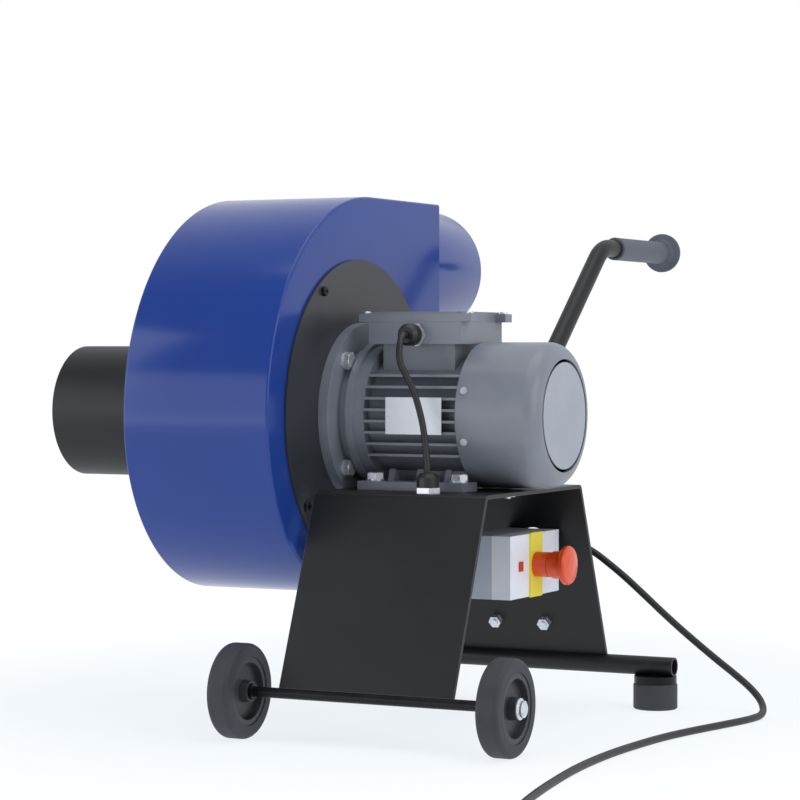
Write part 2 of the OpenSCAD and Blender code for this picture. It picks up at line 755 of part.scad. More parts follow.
module terminal_box() {
    color("#7a808b") place() difference() {
        translate([tbox_x, -tbox_w / 2, tbox_floor]) union() {
            cube([tbox_l, tbox_w, tbox_h]);
            translate([motor_gland_x - tbox_x, 0, motor_gland_z - tbox_floor]) rotate([90, 0, 0])
                cylinder(d = gland_pad_d, h = gland_pad_h);
        }
        translate([tbox_x + tbox_wall, -tbox_w / 2 + tbox_wall, tbox_floor + tbox_wall])
            cube([tbox_l - 2 * tbox_wall, tbox_w - 2 * tbox_wall, tbox_h]);
        translate([motor_gland_x, -tbox_w / 2 + tbox_wall + cut, motor_gland_z]) rotate([90, 0, 0])
            cylinder(d = gland_thread_d + 2 * fit_gap, h = tbox_wall + gland_pad_h + 2 * cut);
        translate([motor_gland_x, 0, tbox_floor - cut]) cylinder(d = gland_thread_d, h = tbox_wall + 2 * cut);
    }
}
gland_pad_d = 23;
gland_pad_h = 1;

module lid_corners(inset) {
    for (x = [tbox_x - inset, tbox_x + tbox_l + inset], y = [-1, 1])
        translate([x, y * (tbox_w / 2 - lug_w / 2), 0]) children();
}

module terminal_box_lid() {
    t = tbox_wall;
    z = tbox_floor + tbox_h;
    color("#7d838e") place() difference() {
        union() {
            translate([tbox_x, -tbox_w / 2, z]) cube([tbox_l, tbox_w, tlid_h - lid_step]);
            translate([tbox_x + lid_step, -tbox_w / 2 + lid_step, z]) cube([tbox_l - 2 * lid_step, tbox_w - 2 * lid_step, tlid_h]);
            for (y = [-1, 1]) translate([tbox_x - lug_out, y * (tbox_w / 2 - lug_w / 2) - lug_w / 2, z])
                cube([tbox_l + 2 * lug_out, lug_w, tlid_h - lid_step]);
        }
        translate([tbox_x + t, -tbox_w / 2 + t, z - cut]) cube([tbox_l - 2 * t, tbox_w - 2 * t, tlid_h - t + cut - lid_step]);
        lid_corners(lug_out - lug_w / 3) translate([0, 0, z - cut]) cylinder(d = lid_screw_d, h = tlid_h + 2 * cut);
    }
}
lid_step = 2;
lid_screw_d = 5;

module terminal_box_screws() {
    z = tbox_floor + tbox_h + tlid_h - lid_step;
    color("#c9ccd2") place() lid_corners(lug_out - lug_w / 3) translate([0, 0, z])
        socket_screw(lid_screw_d, tlid_h - lid_step, lid_screw_d * lid_head_share, lid_screw_d / 2, lid_screw_d / 2);
}
lid_head_share = 1.7;

module terminal_block() {
    w = block_pitch * 3;
    color("#3b2f28") place() translate([tbox_x + tbox_l / 2 - w / 2, -block_pitch, tbox_floor + tbox_wall]) {
        difference() {
            cube([w, block_pitch * 2, block_h]);
            translate([-cut, block_pitch - cut, block_h / 2]) cube([w + 2 * cut, 2 * cut, block_h]);
        }
        for (i = [0:2], j = [0, 1]) translate([(i + 1 / 2) * block_pitch, (j + 1 / 2) * block_pitch, block_h])
            cylinder(d = block_stud_d, h = block_h);
    }
}
block_pitch = 18;
block_h = 8;
block_stud_d = 4;

// Blank rating plate riveted across the fins
plate_l = 66;
nameplate_h = 39.5;
module nameplate() {
    color("#dfe3ea") place() translate([nameplate_x, -fin_tip_r - nameplate_t, axis_h - nameplate_h / 2])
        union() {
            cube([plate_l, nameplate_t, nameplate_h]);
            for (x = [rivet_d, plate_l - rivet_d]) translate([x, 0, nameplate_h / 2]) rotate([90, 0, 0])
                cylinder(d = rivet_d, h = nameplate_t);
        }
}
nameplate_x = 70.5;
nameplate_t = 1;
rivet_d = 3;

// Cable glands, drawn with the wall at Z 0 and the cable leaving along +Z
gland_af = 24;
gland_hex_h = 6;
gland_dome_l = 15;
gland_nut_h = 4;
gland_nut_af = 20;

module gland_dome(cable_d, tail) {
    r = gland_af / 2;
    z = gland_hex_h;
    rotate_extrude() polygon([[cable_d / 2 + run_gap * 2, z], [r - fit_gap, z], [r - fit_gap, z + gland_dome_l * dome_side_share],
        [r * dome_tip_share, z + gland_dome_l], [cable_d / 2 + run_gap * 2, z + gland_dome_l]]);
    ring(gland_thread_d / 2 - fit_gap, cable_d / 2 + run_gap * 2, gland_hex_h);
    translate([0, 0, -tail]) ring(gland_thread_d / 2 - fit_gap, cable_d / 2 + run_gap * 2, tail);
}
dome_side_share = 0.7;
dome_tip_share = 0.72;

module gland_hex() {
    difference() {
        hex(gland_af, gland_hex_h);
        translate([0, 0, -cut]) cylinder(d = gland_thread_d, h = gland_hex_h + 2 * cut);
    }
}

module gland_locknut(wall) {
    translate([0, 0, -wall - gland_nut_h]) difference() {
        hex(gland_nut_af, gland_nut_h);
        translate([0, 0, -cut]) cylinder(d = gland_thread_d, h = gland_nut_h + 2 * cut);
    }
}

// Where each gland sits: on the terminal box, on the stand and on two sides of the switch box
stand_gland = [136, -110];
box_face_x = 178.5;
box_y0 = 6.8;
box_y1 = box_y0 + box_w;
box_z0 = 135.3;
box_gland_y = 45;
box_gland_share = 0.62;
box_gland_z = box_z0 + box_h * box_gland_share;
mains_gland_x = 146;
mains_gland_share = 0.78;
mains_gland_z = box_z0 + box_h * mains_gland_share;

module at_motor_gland() { translate([motor_gland_x, -tbox_w / 2 - gland_pad_h, motor_gland_z]) rotate([90, 0, 0]) children(); }
module at_stand_gland() { translate([stand_gland[0], stand_gland[1], stand_h]) children(); }
module at_box_gland() { translate([box_face_x - box_d, box_gland_y, box_gland_z]) rotate([0, -90, 0]) children(); }
module at_mains_gland() { translate([mains_gland_x, box_y1, mains_gland_z]) rotate([-90, 0, 0]) children(); }

module cable_glands() {
    color("#141619") place() {
        at_motor_gland() gland_dome(lead_d, tbox_wall + gland_pad_h);
        at_stand_gland() gland_dome(lead_d, stand_t + gland_nut_h + cut);
        at_box_gland() gland_dome(lead_d, box_wall + gland_nut_h + cut);
        at_mains_gland() {
            gland_dome(mains_d, box_wall + gland_nut_h + cut);
            translate([0, 0, gland_hex_h + gland_dome_l]) rotate_extrude()
                polygon([[mains_d / 2 + run_gap * 2, 0], [gland_af / 2 * sleeve_share, 0], [mains_d * sleeve_tip_share, sleeve_l],
                    [mains_d / 2 + run_gap * 2, sleeve_l]]);
        }
    }
}
sleeve_l = 28;
sleeve_share = 0.7;
sleeve_tip_share = 0.72;

module gland_nuts() {
    color("#c3c7ce") place() {
        at_motor_gland() gland_hex();
        at_stand_gland() { gland_hex(); gland_locknut(stand_t); }
        at_box_gland() { gland_hex(); gland_locknut(box_wall); }
        at_mains_gland() { gland_hex(); gland_locknut(box_wall); }
    }
}

// Smooth tube swept along a list of points: a Catmull-Rom curve with a ring at each step
function spline(p, steps) = concat(
    [for (i = [0:len(p) - 2], k = [0:steps - 1]) spline_at(p, i, k / steps)], [p[len(p) - 1]]);
function spline_at(p, i, t) =
    let (a = p[max(i - 1, 0)], b = p[i], c = p[i + 1], d = p[min(i + 2, len(p) - 1)])
    b + t / 2 * (c - a) + t * t * (a - 5 / 2 * b + 2 * c - d / 2) + t * t * t * (3 / 2 * (b - c) + (d - a) / 2);
function unit(v) = v / norm(v);
function tangents(c) = [for (i = [0:len(c) - 1]) unit(c[min(i + 1, len(c) - 1)] - c[max(i - 1, 0)])];
function square_to(n, t) = unit(n - (n * t) * t);
function carried(n, t, i) = i >= len(t) ? [] : concat([square_to(n, t[i])], carried(square_to(n, t[i]), t, i + 1));
function tube_points(c, r, sides, t, n) = [for (i = [0:len(c) - 1], k = [0:sides - 1])
    c[i] + r * (cos(k * 360 / sides) * n[i] + sin(k * 360 / sides) * cross(t[i], n[i]))];
function tube_faces(rings, sides) = concat(
    [[for (k = [0:sides - 1]) k]],
    [for (i = [0:rings - 2], k = [0:sides - 1]) let (a = i * sides + k, b = i * sides + (k + 1) % sides)
        [a, a + sides, b]],
    [for (i = [0:rings - 2], k = [0:sides - 1]) let (a = i * sides + k, b = i * sides + (k + 1) % sides)
        [b, a + sides, b + sides]],
    [[for (k = [sides - 1:-1:0]) (rings - 1) * sides + k]]);

module tube(curve, d, sides, start_normal) {
    t = tangents(curve);
    n = carried(start_normal, t, 0);
    polyhedron(tube_points(curve, d / 2, sides, t, n), tube_faces(len(curve), sides), convexity = 10);
}

// The motor cable, from inside the terminal box through the stand to the back of the switch box
lead_points = [
    [93, -48, 422.4], [93, -62, 422.4], [93, -76, 422.4], [93.5, -85, 420.5], [94.5, -92, 413], [95.5, -96, 403],
    [98, -98, 392], [104, -99, 381], [113, -100, 366], [120, -102, 350], [127, -105, 330], [132, -108, 308],
    [135, -110, 288], [136, -110, 272], [136, -110, 256], [136, -110, 242], [135, -109, 228], [131, -103, 214],
    [122, -90, 203], [108, -70, 194], [91, -44, 187], [74, -16, 182], [63, 10, 179], [64, 32, 178.3], [76, 43, 178.1],
    [90, 45, 178.1], [104, 45, 178.1], [119, 45, 178.1]
];
lead_steps = 2;
lead_sides = 8;
module motor_cable() {
    color("#15171a") place() tube(spline(lead_points, lead_steps), lead_d, lead_sides, [1, 0, 0]);
}

// Stand: one plate bent to an inverted U whose panels splay to the wheels and to the feet
// Half of the stand's section, from the middle of a bend's outside down the panel and back up inside
stand_steps = 4;
stand_flat = stand_top_half - stand_bend_r * tan((90 - panel_a) / 2);
function panel_at(z, depth) = [stand_top_half + (stand_h - z) * panel_slope - depth / cos(panel_a), z];
function stand_half(low_z) = let (c = [stand_flat, stand_h - stand_bend_r]) concat(
    arc(c, stand_bend_r, 90, panel_a, stand_steps), [panel_at(low_z, 0), panel_at(low_z, stand_t)],
    arc(c, stand_bend_r - stand_t, panel_a, 90, stand_steps));
function flipped(v) = [for (i = [len(v) - 1:-1:0]) [-v[i][0], v[i][1]]];

module stand_sheet() {
    along_x(0, 0) linear_extrude(stand_w) polygon(concat(stand_half(tube_top_z), flipped(stand_half(axle_top_z))));
}
tube_top_z = foot_rubber_h + foot_cup_h + tube_d;
axle_top_z = wheel_z + axle_d / 2;
foot_tube_y = stand_top_half + (stand_h - tube_top_z) * panel_slope - stand_t / 2 / cos(panel_a);
foot_tube_z = foot_rubber_h + foot_cup_h + tube_d / 2;

// Frame of the panel on the handle side: X stays, +Y lies square out of its face, +Z up along it
module on_panel(x, z) {
    translate([x, stand_top_half + (stand_h - z) * panel_slope, z]) rotate([panel_a, 0, 0]) children();
}

module stand() {
    color("#23262a") place() difference() {
        translate([stand_x, 0, 0]) stand_sheet();
        for (x = foot_cols, y = foot_rows) translate([x, y, stand_h - stand_t - cut])
            cylinder(d = foot_bolt_d + 2 * fit_gap, h = stand_t + 2 * cut);
        translate([stand_gland[0], stand_gland[1], stand_h - stand_t - cut])
            cylinder(d = gland_thread_d + 2 * fit_gap, h = stand_t + 2 * cut);
        on_panel(mains_gland_x, mains_gland_z) rotate([-90, 0, 0])
            translate([0, 0, -stand_t - cut]) cylinder(d = mains_hole_d, h = stand_t + 2 * cut);
        for (s = [-1, 1]) on_panel(foot_tube_mid + s * clamp_pitch / 2, clamp_z) rotate([-90, 0, 0])
            translate([0, 0, -stand_t - cut]) cylinder(d = clamp_bolt_d + 2 * fit_gap, h = stand_t + 2 * cut);
    }
}
mains_hole_d = 38;
clamp_z = 95.5;
clamp_pitch = 61;
clamp_bolt_d = 8;
clamp_bolt_af = 13;

// Wheels and axle
wheel_off = 4.5;
left_wheel_x = foot_tube_mid + wheel_off - wheel_gap / 2 - wheel_w;
right_wheel_x = foot_tube_mid + wheel_off + wheel_gap / 2;
axle_over = 4;
cap_t = 3;
cap_d = 22;
hub_boss = 2;

module axle() {
    x0 = left_wheel_x - hub_boss - axle_over;
    x1 = right_wheel_x + wheel_w + hub_boss + axle_over;
    color("#1e2124") place() union() {
        translate([x0, axle_y, wheel_z]) rotate([0, 90, 0]) cylinder(d = axle_d, h = x1 - x0);
        for (x = [left_wheel_x + wheel_w + hub_boss + free_gap, right_wheel_x - hub_boss - free_gap - cap_t])
            translate([x, axle_y, wheel_z]) rotate([0, 90, 0]) cylinder(d = axle_d + 2 * cap_t, h = cap_t);
    }
}

tyre_t = 14;
module wheel_2d(r_in, r_out, w, edge) {
    polygon(concat([[r_in, 0], [r_out - edge, 0]],
        [for (a = [15:15:75]) [r_out - edge + edge * sin(a), edge - edge * cos(a)]],
        [[r_out, edge], [r_out, w - edge]],
        [for (a = [15:15:75]) [r_out - edge + edge * cos(a), w - edge + edge * sin(a)]],
        [[r_out - edge, w], [r_in, w]]));
}

module wheel_tyre(x) {
    translate([x, axle_y, wheel_z]) rotate([90, 0, 90]) rotate_extrude()
        wheel_2d(wheel_d / 2 - tyre_t, wheel_d / 2, wheel_w, wheel_w * tyre_edge_share);
}
tyre_edge_share = 0.22;

module wheel_hub(x) {
    r = wheel_d / 2 - tyre_t;
    web = wheel_w * web_share;
    rim = r - rim_t;
    mid = wheel_w / 2;
    translate([x, axle_y, wheel_z]) rotate([90, 0, 90]) rotate_extrude()
        polygon([[axle_d / 2 + run_gap, -hub_boss], [hub_boss_r, -hub_boss], [hub_boss_r + cut, mid - web / 2 - cut],
            [rim - cut, mid - web / 2], [rim, cut], [r, cut], [r, wheel_w - cut], [rim, wheel_w - cut],
            [rim - cut, mid + web / 2], [hub_boss_r + cut, mid + web / 2 + cut], [hub_boss_r, wheel_w + hub_boss],
            [axle_d / 2 + run_gap, wheel_w + hub_boss]]);
}
web_share = 0.36;
rim_t = 6;
hub_boss_r = 11;

module wheel_left_tyre() { color("#3b3d42") place() wheel_tyre(left_wheel_x); }
module wheel_right_tyre() { color("#3b3d42") place() wheel_tyre(right_wheel_x); }
module wheel_left_hub() { color("#34363b") place() wheel_hub(left_wheel_x); }
module wheel_right_hub() { color("#34363b") place() wheel_hub(right_wheel_x); }

// Push-on caps that keep the wheels on the axle
module axle_cap() {
    difference() {
        rotate_extrude() polygon([[0, 0], [cap_d / 2, 0], [cap_d / 2, cap_t / 2], [axle_d / 2 + cap_t, cap_t],
            [axle_d / 2 + cap_t, axle_over + cap_t / 2], [axle_d / 2, axle_over + cap_t], [0, axle_over + cap_t]]);
        translate([0, 0, -cut]) cylinder(d = axle_d + 2 * fit_gap, h = axle_over + cut - free_gap);
    }
}

module axle_caps() {
    color("#c9ccd2") place() {
        translate([right_wheel_x + wheel_w + hub_boss + free_gap, axle_y, wheel_z]) rotate([0, 90, 0]) axle_cap();
        translate([left_wheel_x - hub_boss - free_gap, axle_y, wheel_z]) rotate([0, -90, 0]) axle_cap();
    }
}

// Foot tube along the other panel, on two rubber buffers
foot_xs = [foot_tube_mid - foot_tube_l / 2 + foot_inset, foot_tube_mid + foot_tube_l / 2 - foot_inset];
foot_stud_d = 8;

module foot_tube() {
    color("#17191c") place() difference() {
        translate([foot_tube_mid - foot_tube_l / 2, foot_tube_y, foot_tube_z]) rotate([0, 90, 0])
            ring(tube_d / 2, tube_d / 2 - tube_wall, foot_tube_l);
        for (x = foot_xs) translate([x, foot_tube_y, foot_tube_z - tube_d]) cylinder(d = foot_stud_d + 2 * fit_gap, h = tube_d);
    }
}

module rubber_feet() {
    e = foot_d * foot_edge_share;
    color("#33363b") place() for (x = foot_xs) translate([x, foot_tube_y, 0]) rotate_extrude()
        polygon([[0, 0], [foot_d / 2 - e, 0], [foot_d / 2, e], [foot_d / 2, foot_rubber_h - e],
            [foot_d / 2 - e, foot_rubber_h], [0, foot_rubber_h]]);
}
foot_edge_share = 0.03;

module foot_cups() {
    h = foot_cup_h;
    color("#1c1e21") place() for (x = foot_xs) translate([x, foot_tube_y, foot_rubber_h]) {
        difference() {
            cylinder(d = foot_d - 2 * cut, h = h);
            translate([0, -foot_tube_y, foot_tube_z - foot_rubber_h]) translate([-foot_d, foot_tube_y, 0]) rotate([0, 90, 0])
                cylinder(d = tube_d + 2 * fit_gap, h = 2 * foot_d);
        }
        cylinder(d = foot_stud_d, h = h + tube_wall * 3);
    }
}

// Handle: one tube that lies on the panel, bends out over the stand's edge and ends in a level grip
grip_lead = 20;
handle_rise_a = 90 + panel_a;
handle_off = tube_d / 2 + fit_gap;
low_line_p = [stand_top_half, stand_h] + handle_off * [cos(panel_a), sin(panel_a)];
low_dir = [-sin(panel_a), cos(panel_a)];
slope_dir = [cos(handle_slope), sin(handle_slope)];
grip_bend_y = grip_start_y - handle_bend_r * tan(handle_slope / 2) - grip_lead;
slope_p = [grip_bend_y, grip_z];
knee_t = ((slope_p[0] - low_line_p[0]) * slope_dir[1] - (slope_p[1] - low_line_p[1]) * slope_dir[0])
    / (low_dir[0] * slope_dir[1] - low_dir[1] * slope_dir[0]);
knee = low_line_p + knee_t * low_dir;
knee_turn = handle_rise_a - handle_slope;
handle_low_share = 0.9;
handle_low_z = foot_tube_z + tube_d * handle_low_share;
low_len = (knee[1] - handle_low_z) / cos(panel_a) - handle_bend_r * tan(knee_turn / 2);
grip_end_t = 6;

// Centre line of the tube in the plane X = 0: three runs and the two bends between them
handle_sides = 24;
bend_steps = 9;
low_start = [low_line_p[0] - (handle_low_z - low_line_p[1]) * panel_slope, handle_low_z];
bend_1 = low_start + low_len * low_dir + handle_bend_r * [cos(panel_a), sin(panel_a)];
bend_2 = slope_p + handle_bend_r * [tan(handle_slope / 2), -1];
function lift(v) = [for (p = v) [0, p[0], p[1]]];
handle_curve = concat(
    lift([low_start]),
    lift(arc(bend_1, handle_bend_r, 180 + panel_a, 180 + panel_a - knee_turn, bend_steps)),
    lift(arc(bend_2, handle_bend_r, 90 + handle_slope, 90, bend_steps)),
    lift([[grip_start_y + grip_l - grip_end_t, grip_z]]));

module handle_tube() {
    color("#23262a") place() translate([foot_tube_mid, 0, 0]) difference() {
        tube(handle_curve, tube_d, handle_sides, [1, 0, 0]);
        translate([0, low_start[0], low_start[1]]) rotate([panel_a, 0, 0]) translate([0, 0, -cut])
            cylinder(d = tube_d - 2 * tube_wall, h = low_len);
    }
}

// Saddle over the tube, with an ear on each side bolted through the panel
clamp_strap_t = 3;
clamp_w = 28;
module handle_clamp() {
    r = tube_d / 2 + free_gap;
    ear = clamp_pitch / 2 + clamp_bolt_af - r;
    color("#23262a") place() on_panel(foot_tube_mid, clamp_z) translate([0, 0, -clamp_w / 2]) difference() {
        union() {
            translate([0, handle_off, 0]) rotate_extrude(angle = 180) translate([r, 0]) square([clamp_strap_t, clamp_w]);
            for (s = [0, 1]) mirror([s, 0, 0]) {
                translate([r, clamp_strap_t, 0]) cube([clamp_strap_t, handle_off - clamp_strap_t, clamp_w]);
                translate([r, 0, 0]) cube([ear, clamp_strap_t, clamp_w]);
            }
        }
        for (s = [-1, 1]) translate([s * clamp_pitch / 2, -cut, clamp_w / 2]) rotate([-90, 0, 0])
            cylinder(d = clamp_bolt_d + 2 * fit_gap, h = clamp_strap_t + 2 * cut);
    }
}

module handle_bolts() {
    grip = clamp_strap_t + stand_t;
    color("#d9dce2") place() for (s = [-1, 1]) on_panel(foot_tube_mid + s * clamp_pitch / 2, clamp_z)
        translate([0, clamp_strap_t, 0]) rotate([-90, 0, 0]) {
            hex_bolt(clamp_bolt_d, clamp_bolt_af, clamp_bolt_d / 2, grip + clamp_bolt_d + washer_t, washer_t);
            translate([0, 0, -grip - clamp_bolt_d]) difference() {
                hex(clamp_bolt_af, clamp_bolt_d);
                translate([0, 0, -cut]) cylinder(d = clamp_bolt_d, h = clamp_bolt_d + 2 * cut);
            }
        }
}

module handle_grip() {
    r = grip_d / 2;
    rd = grip_disc_d / 2;
    color("#5c626d") place() translate([foot_tube_mid, grip_start_y, grip_z]) rotate([-90, 0, 0]) difference() {
        rotate_extrude() polygon([[0, 0], [r - cut, 0], [r, cut], [r, grip_l - grip_end_t - grip_flare],
            [r + grip_flare, grip_l - grip_end_t], [rd - cut, grip_l - grip_end_t], [rd, grip_l - grip_end_t + cut],
            [rd, grip_l - cut * 2], [rd - 2 * cut, grip_l], [0, grip_l]]);
        translate([0, 0, -cut]) cylinder(d = tube_d + 2 * fit_gap, h = grip_l - grip_end_t + cut);
    }
}
grip_flare = 3;

// Switch box with its cover facing the motor's end
box_wall = 2.5;
cover_d = 22;

module switch_box() {
    l = box_d - cover_d;
    color("#aab2c4") place() difference() {
        translate([box_face_x - box_d, box_y0, box_z0]) cube([l, box_w, box_h]);
        translate([box_face_x - box_d + box_wall, box_y0 + box_wall, box_z0 + box_wall])
            cube([l, box_w - 2 * box_wall, box_h - 2 * box_wall]);
        at_box_gland() translate([0, 0, -box_wall - cut]) cylinder(d = gland_thread_d + 2 * fit_gap, h = box_wall + 2 * cut);
        at_mains_gland() translate([0, 0, -box_wall - cut]) cylinder(d = gland_thread_d + 2 * fit_gap, h = box_wall + 2 * cut);
    }
}

estop_y = box_y0 + box_w / 2;
estop_z = box_z0 + box_h / 2;
collar_r = 13.9;
collar_bore_r = 8.5;
plunger_r = 8.4;

module on_cover(x) { translate([x, estop_y, estop_z]) rotate([90, 0, 90]) children(); }

module switch_box_cover() {
    color("#e6eaf4") place() difference() {
        translate([box_face_x - cover_d, box_y0, box_z0]) cube([cover_d, box_w, box_h]);
        translate([box_face_x - cover_d - cut, box_y0 + box_wall, box_z0 + box_wall])
            cube([cover_d - box_wall + cut, box_w - 2 * box_wall, box_h - 2 * box_wall]);
        on_cover(box_face_x - box_wall - cut) cylinder(r = plunger_r + run_gap, h = box_wall + 2 * cut);
        translate([box_face_x - box_wall - cut, box_y0 + lens_y - lens_w / 2, estop_z - lens_h / 2])
            cube([box_wall + 2 * cut, lens_w, lens_h]);
    }
}
lens_y = 27.8;
lens_w = 11;
lens_h = 10.7;

module indicator_lens() {
    color("#e2401c") place()
        translate([box_face_x - box_wall, box_y0 + lens_y - lens_w / 2 + fit_gap, estop_z - lens_h / 2 + fit_gap])
            cube([box_wall + lens_proud, lens_w - 2 * fit_gap, lens_h - 2 * fit_gap]);
}
lens_proud = 1;

// Bent sheet that fills the wedge between the box and the splayed panel
bracket_t = 1.5;
bracket_x = 116;
bracket_l = 15;
function panel_in_y(z) = stand_top_half + (stand_h - z) * panel_slope - stand_t / cos(panel_a);
module switch_box_bracket() {
    t = bracket_t;
    z1 = box_z0 + box_h;
    color("#23262a") place() along_x(bracket_x, 0) linear_extrude(bracket_l)
        polygon([[box_y1, box_z0], [box_y1, z1], [panel_in_y(z1) - fit_gap, z1], [panel_in_y(box_z0) - fit_gap, box_z0],
            [panel_in_y(box_z0) - t / cos(panel_a), box_z0], [panel_in_y(z1 - t) - t / cos(panel_a), z1 - t],
            [box_y1 + t / 2, z1 - t], [box_y1 + t / 2, box_z0]]);
}

// Emergency stop: yellow backing strip, fixed collar, plunger that slides and head that turns
strip_w = 32;
strip_t = 2;
strip_over = 1;
collar_l = 26;
head_front = 44.5;

module estop_plate() {
    color("#f0e42c") place() difference() {
        translate([box_face_x, estop_y - strip_w / 2, box_z0 - strip_over]) cube([strip_t, strip_w, box_h + 2 * strip_over]);
        on_cover(box_face_x - cut) cylinder(r = plunger_r + run_gap, h = strip_t + 2 * cut);
    }
}

module estop_collar() {
    groove_z = strip_t + collar_l * collar_groove_share;
    color("#d9481c") place() on_cover(box_face_x) difference() {
        translate([0, 0, strip_t]) cylinder(r = collar_r, h = collar_l);
        translate([0, 0, -cut]) cylinder(r = plunger_r + run_gap, h = collar_l + strip_t + 2 * cut);
        translate([0, 0, groove_z]) ring(collar_r + cut, collar_r - cut, cut);
    }
}
collar_groove_share = 0.62;

module estop_plunger() {
    color("#b9bdc3") place() on_cover(box_face_x) union() {
        translate([0, 0, -plunger_tail]) cylinder(r = plunger_r, h = plunger_tail + collar_l + strip_t + head_travel + plunger_nose);
        translate([0, 0, -plunger_tail - plunger_foot_t]) cylinder(r = plunger_r + plunger_foot_t, h = plunger_foot_t);
    }
}
plunger_tail = 9;
plunger_foot_t = 2;
plunger_nose = 5;

module estop_button() {
    skirt_r = collar_r + free_gap + head_wall;
    skirt_z = strip_t + collar_l * collar_groove_share + head_travel + cut;
    rim = head_d / 2;
    top = collar_l + strip_t + head_travel + free_gap;
    color("#e8501e") place() on_cover(box_face_x) difference() {
        rotate_extrude() polygon([[0, skirt_z], [skirt_r, skirt_z], [skirt_r, head_front * head_neck_share],
            [rim * head_flare_share, head_front * head_rim_share], [rim, head_front * head_edge_share],
            [rim, head_front - head_dome], [rim * head_flare_share, head_front - head_dome / 2],
            [rim / 2, head_front], [0, head_front + head_wall]]);
        translate([0, 0, skirt_z - cut]) cylinder(r = collar_r + free_gap, h = top - skirt_z + cut);
        translate([0, 0, skirt_z - cut]) cylinder(r = plunger_r + fit_gap, h = collar_l + strip_t + head_travel + plunger_nose - skirt_z + cut);
    }
}
head_wall = 0.9;
head_neck_share = 0.75;
head_rim_share = 0.8;
head_edge_share = 0.83;
head_flare_share = 0.93;
head_dome = 4;

coil_c = [391, -716];
coil_loops = 12.25;
coil_layers = 4;
coil_rings = 24;
coil_mid_r = 49;
coil_pitch = 8.75;
coil_climb = 8.6;

// Mains cord: out of the sleeve behind the panel, down to the floor and round to the front
cord_points = [
    [146, 152, 189.1], [146, 170, 189.1], [146, 189.5, 189.1], [148.5, 202, 188.6], [157, 215, 186], [170, 224.5, 181], [186, 229, 172], [204, 230, 159.5],
    [224, 230, 144.5], [246, 229.5, 126.5], [268, 229, 108], [290, 229, 90], [312, 229, 73], [334, 228, 57],
    [356, 226, 42], [376, 221, 28.5], [392, 210, 17], [402, 193, 8.5], [406, 172, 4.6], [405, 148, 4],
    [401, 122, 4], [394, 92, 4], [386, 60, 4], [378, 26, 4], [371, -10, 4], [366, -48, 4], [363, -88, 4],
    [361, -130, 4], [361, -174, 4], [363, -220, 4], [367, -266, 4], [373, -312, 4], [380, -358, 4],
    [388, -404, 4], [397, -448, 4], [407, -490, 4], [418, -532, 4], [429, -572, 4], [439, -612, 4],
    [447, -652, 4], [452, -684, 4], [453.4, -708, 4], [453.4, -716, 4]
];
cord_steps = 1;
cord_sides = 10;
module mains_cord() {
    color("#1a1c1f") place() tube(spline(cord_points, cord_steps), mains_d, cord_sides, [0, 0, 1]);
}

// Coil of the rest of the cord: it spirals in and out again, and climbs a layer wherever it reverses
coil_lap = coil_loops / coil_layers;
function smooth(t) = let (s = min(max(t, 0), 1)) s * s * (3 - 2 * s);
function coil_u(u) = abs(u / coil_lap - 2 * floor(u / coil_lap / 2) - 1);
function coil_rise(u) = [for (k = [1:coil_layers - 1]) smooth((u - k * coil_lap) * 2 + 1 / 2)];
function sum(v, i = 0) = i >= len(v) ? 0 : v[i] + sum(v, i + 1);
function coil_at(u) = let (r = coil_mid_r + coil_pitch * coil_lap * (coil_u(u) - 1 / 2))
    [coil_c[0] + r * cos(u * 360), coil_c[1] - r * sin(u * 360), mains_d / 2 + coil_climb * sum(coil_rise(u))];
coil_wound = [for (i = [0:coil_loops * coil_rings]) coil_at(i / coil_rings)];
coil_start = coil_wound[0];
coil_end = coil_wound[len(coil_wound) - 1];
// From its last turn the cord drops beside the coil to the plug
tail_points = [for (p = [[-12, -0.5, -0.5], [-26, -3, -2.5], [-42, -8, -6.5], [-56, -12.5, -10], [-66, -14.5, -11.7],
    [-74, -15, -11.8]]) coil_end + p];
coil_curve = concat(coil_wound, tail_points);
plug_at = tail_points[len(tail_points) - 1];
function gaps(c, apart) = min([for (i = [0:len(c) - 1 - apart], j = [i + apart:len(c) - 1]) norm(c[i] - c[j])]);
echo(coil_gap = gaps(coil_wound, coil_rings / 2) - mains_d);
function run(c) = sum([for (i = [1:len(c) - 1]) norm(c[i] - c[i - 1])]);
echo(coil_length = run(coil_curve), cord_length = run(coil_curve) + run(spline(cord_points, cord_steps)));

module cord_coil() {
    color("#1a1c1f") place() tube(coil_curve, mains_d, 6, [0, 0, 1]);
}

// Two pin mains plug lying beside the coil
plug_r = 18;
plug_body_l = 34;
plug_tail_l = 22;
pin_l = 19;
pin_d = 4.8;
pin_pitch = 19;
module mains_plug() {
    color("#222529") place() translate([plug_at[0], plug_at[1], plug_r]) rotate([0, -90, 0]) union() {
        rotate_extrude() polygon([[0, 0], [mains_d * sleeve_tip_share, 0], [mains_d, plug_tail_l],
            [plug_r * plug_neck_share, plug_tail_l + cut], [plug_r, plug_tail_l + plug_body_l / 3],
            [plug_r, plug_tail_l + plug_body_l], [0, plug_tail_l + plug_body_l]]);
        for (s = [-1, 1]) translate([0, s * pin_pitch / 2, plug_tail_l + plug_body_l - cut])
            cylinder(d = pin_d, h = pin_l + cut);
    }
}
plug_neck_share = 0.8;

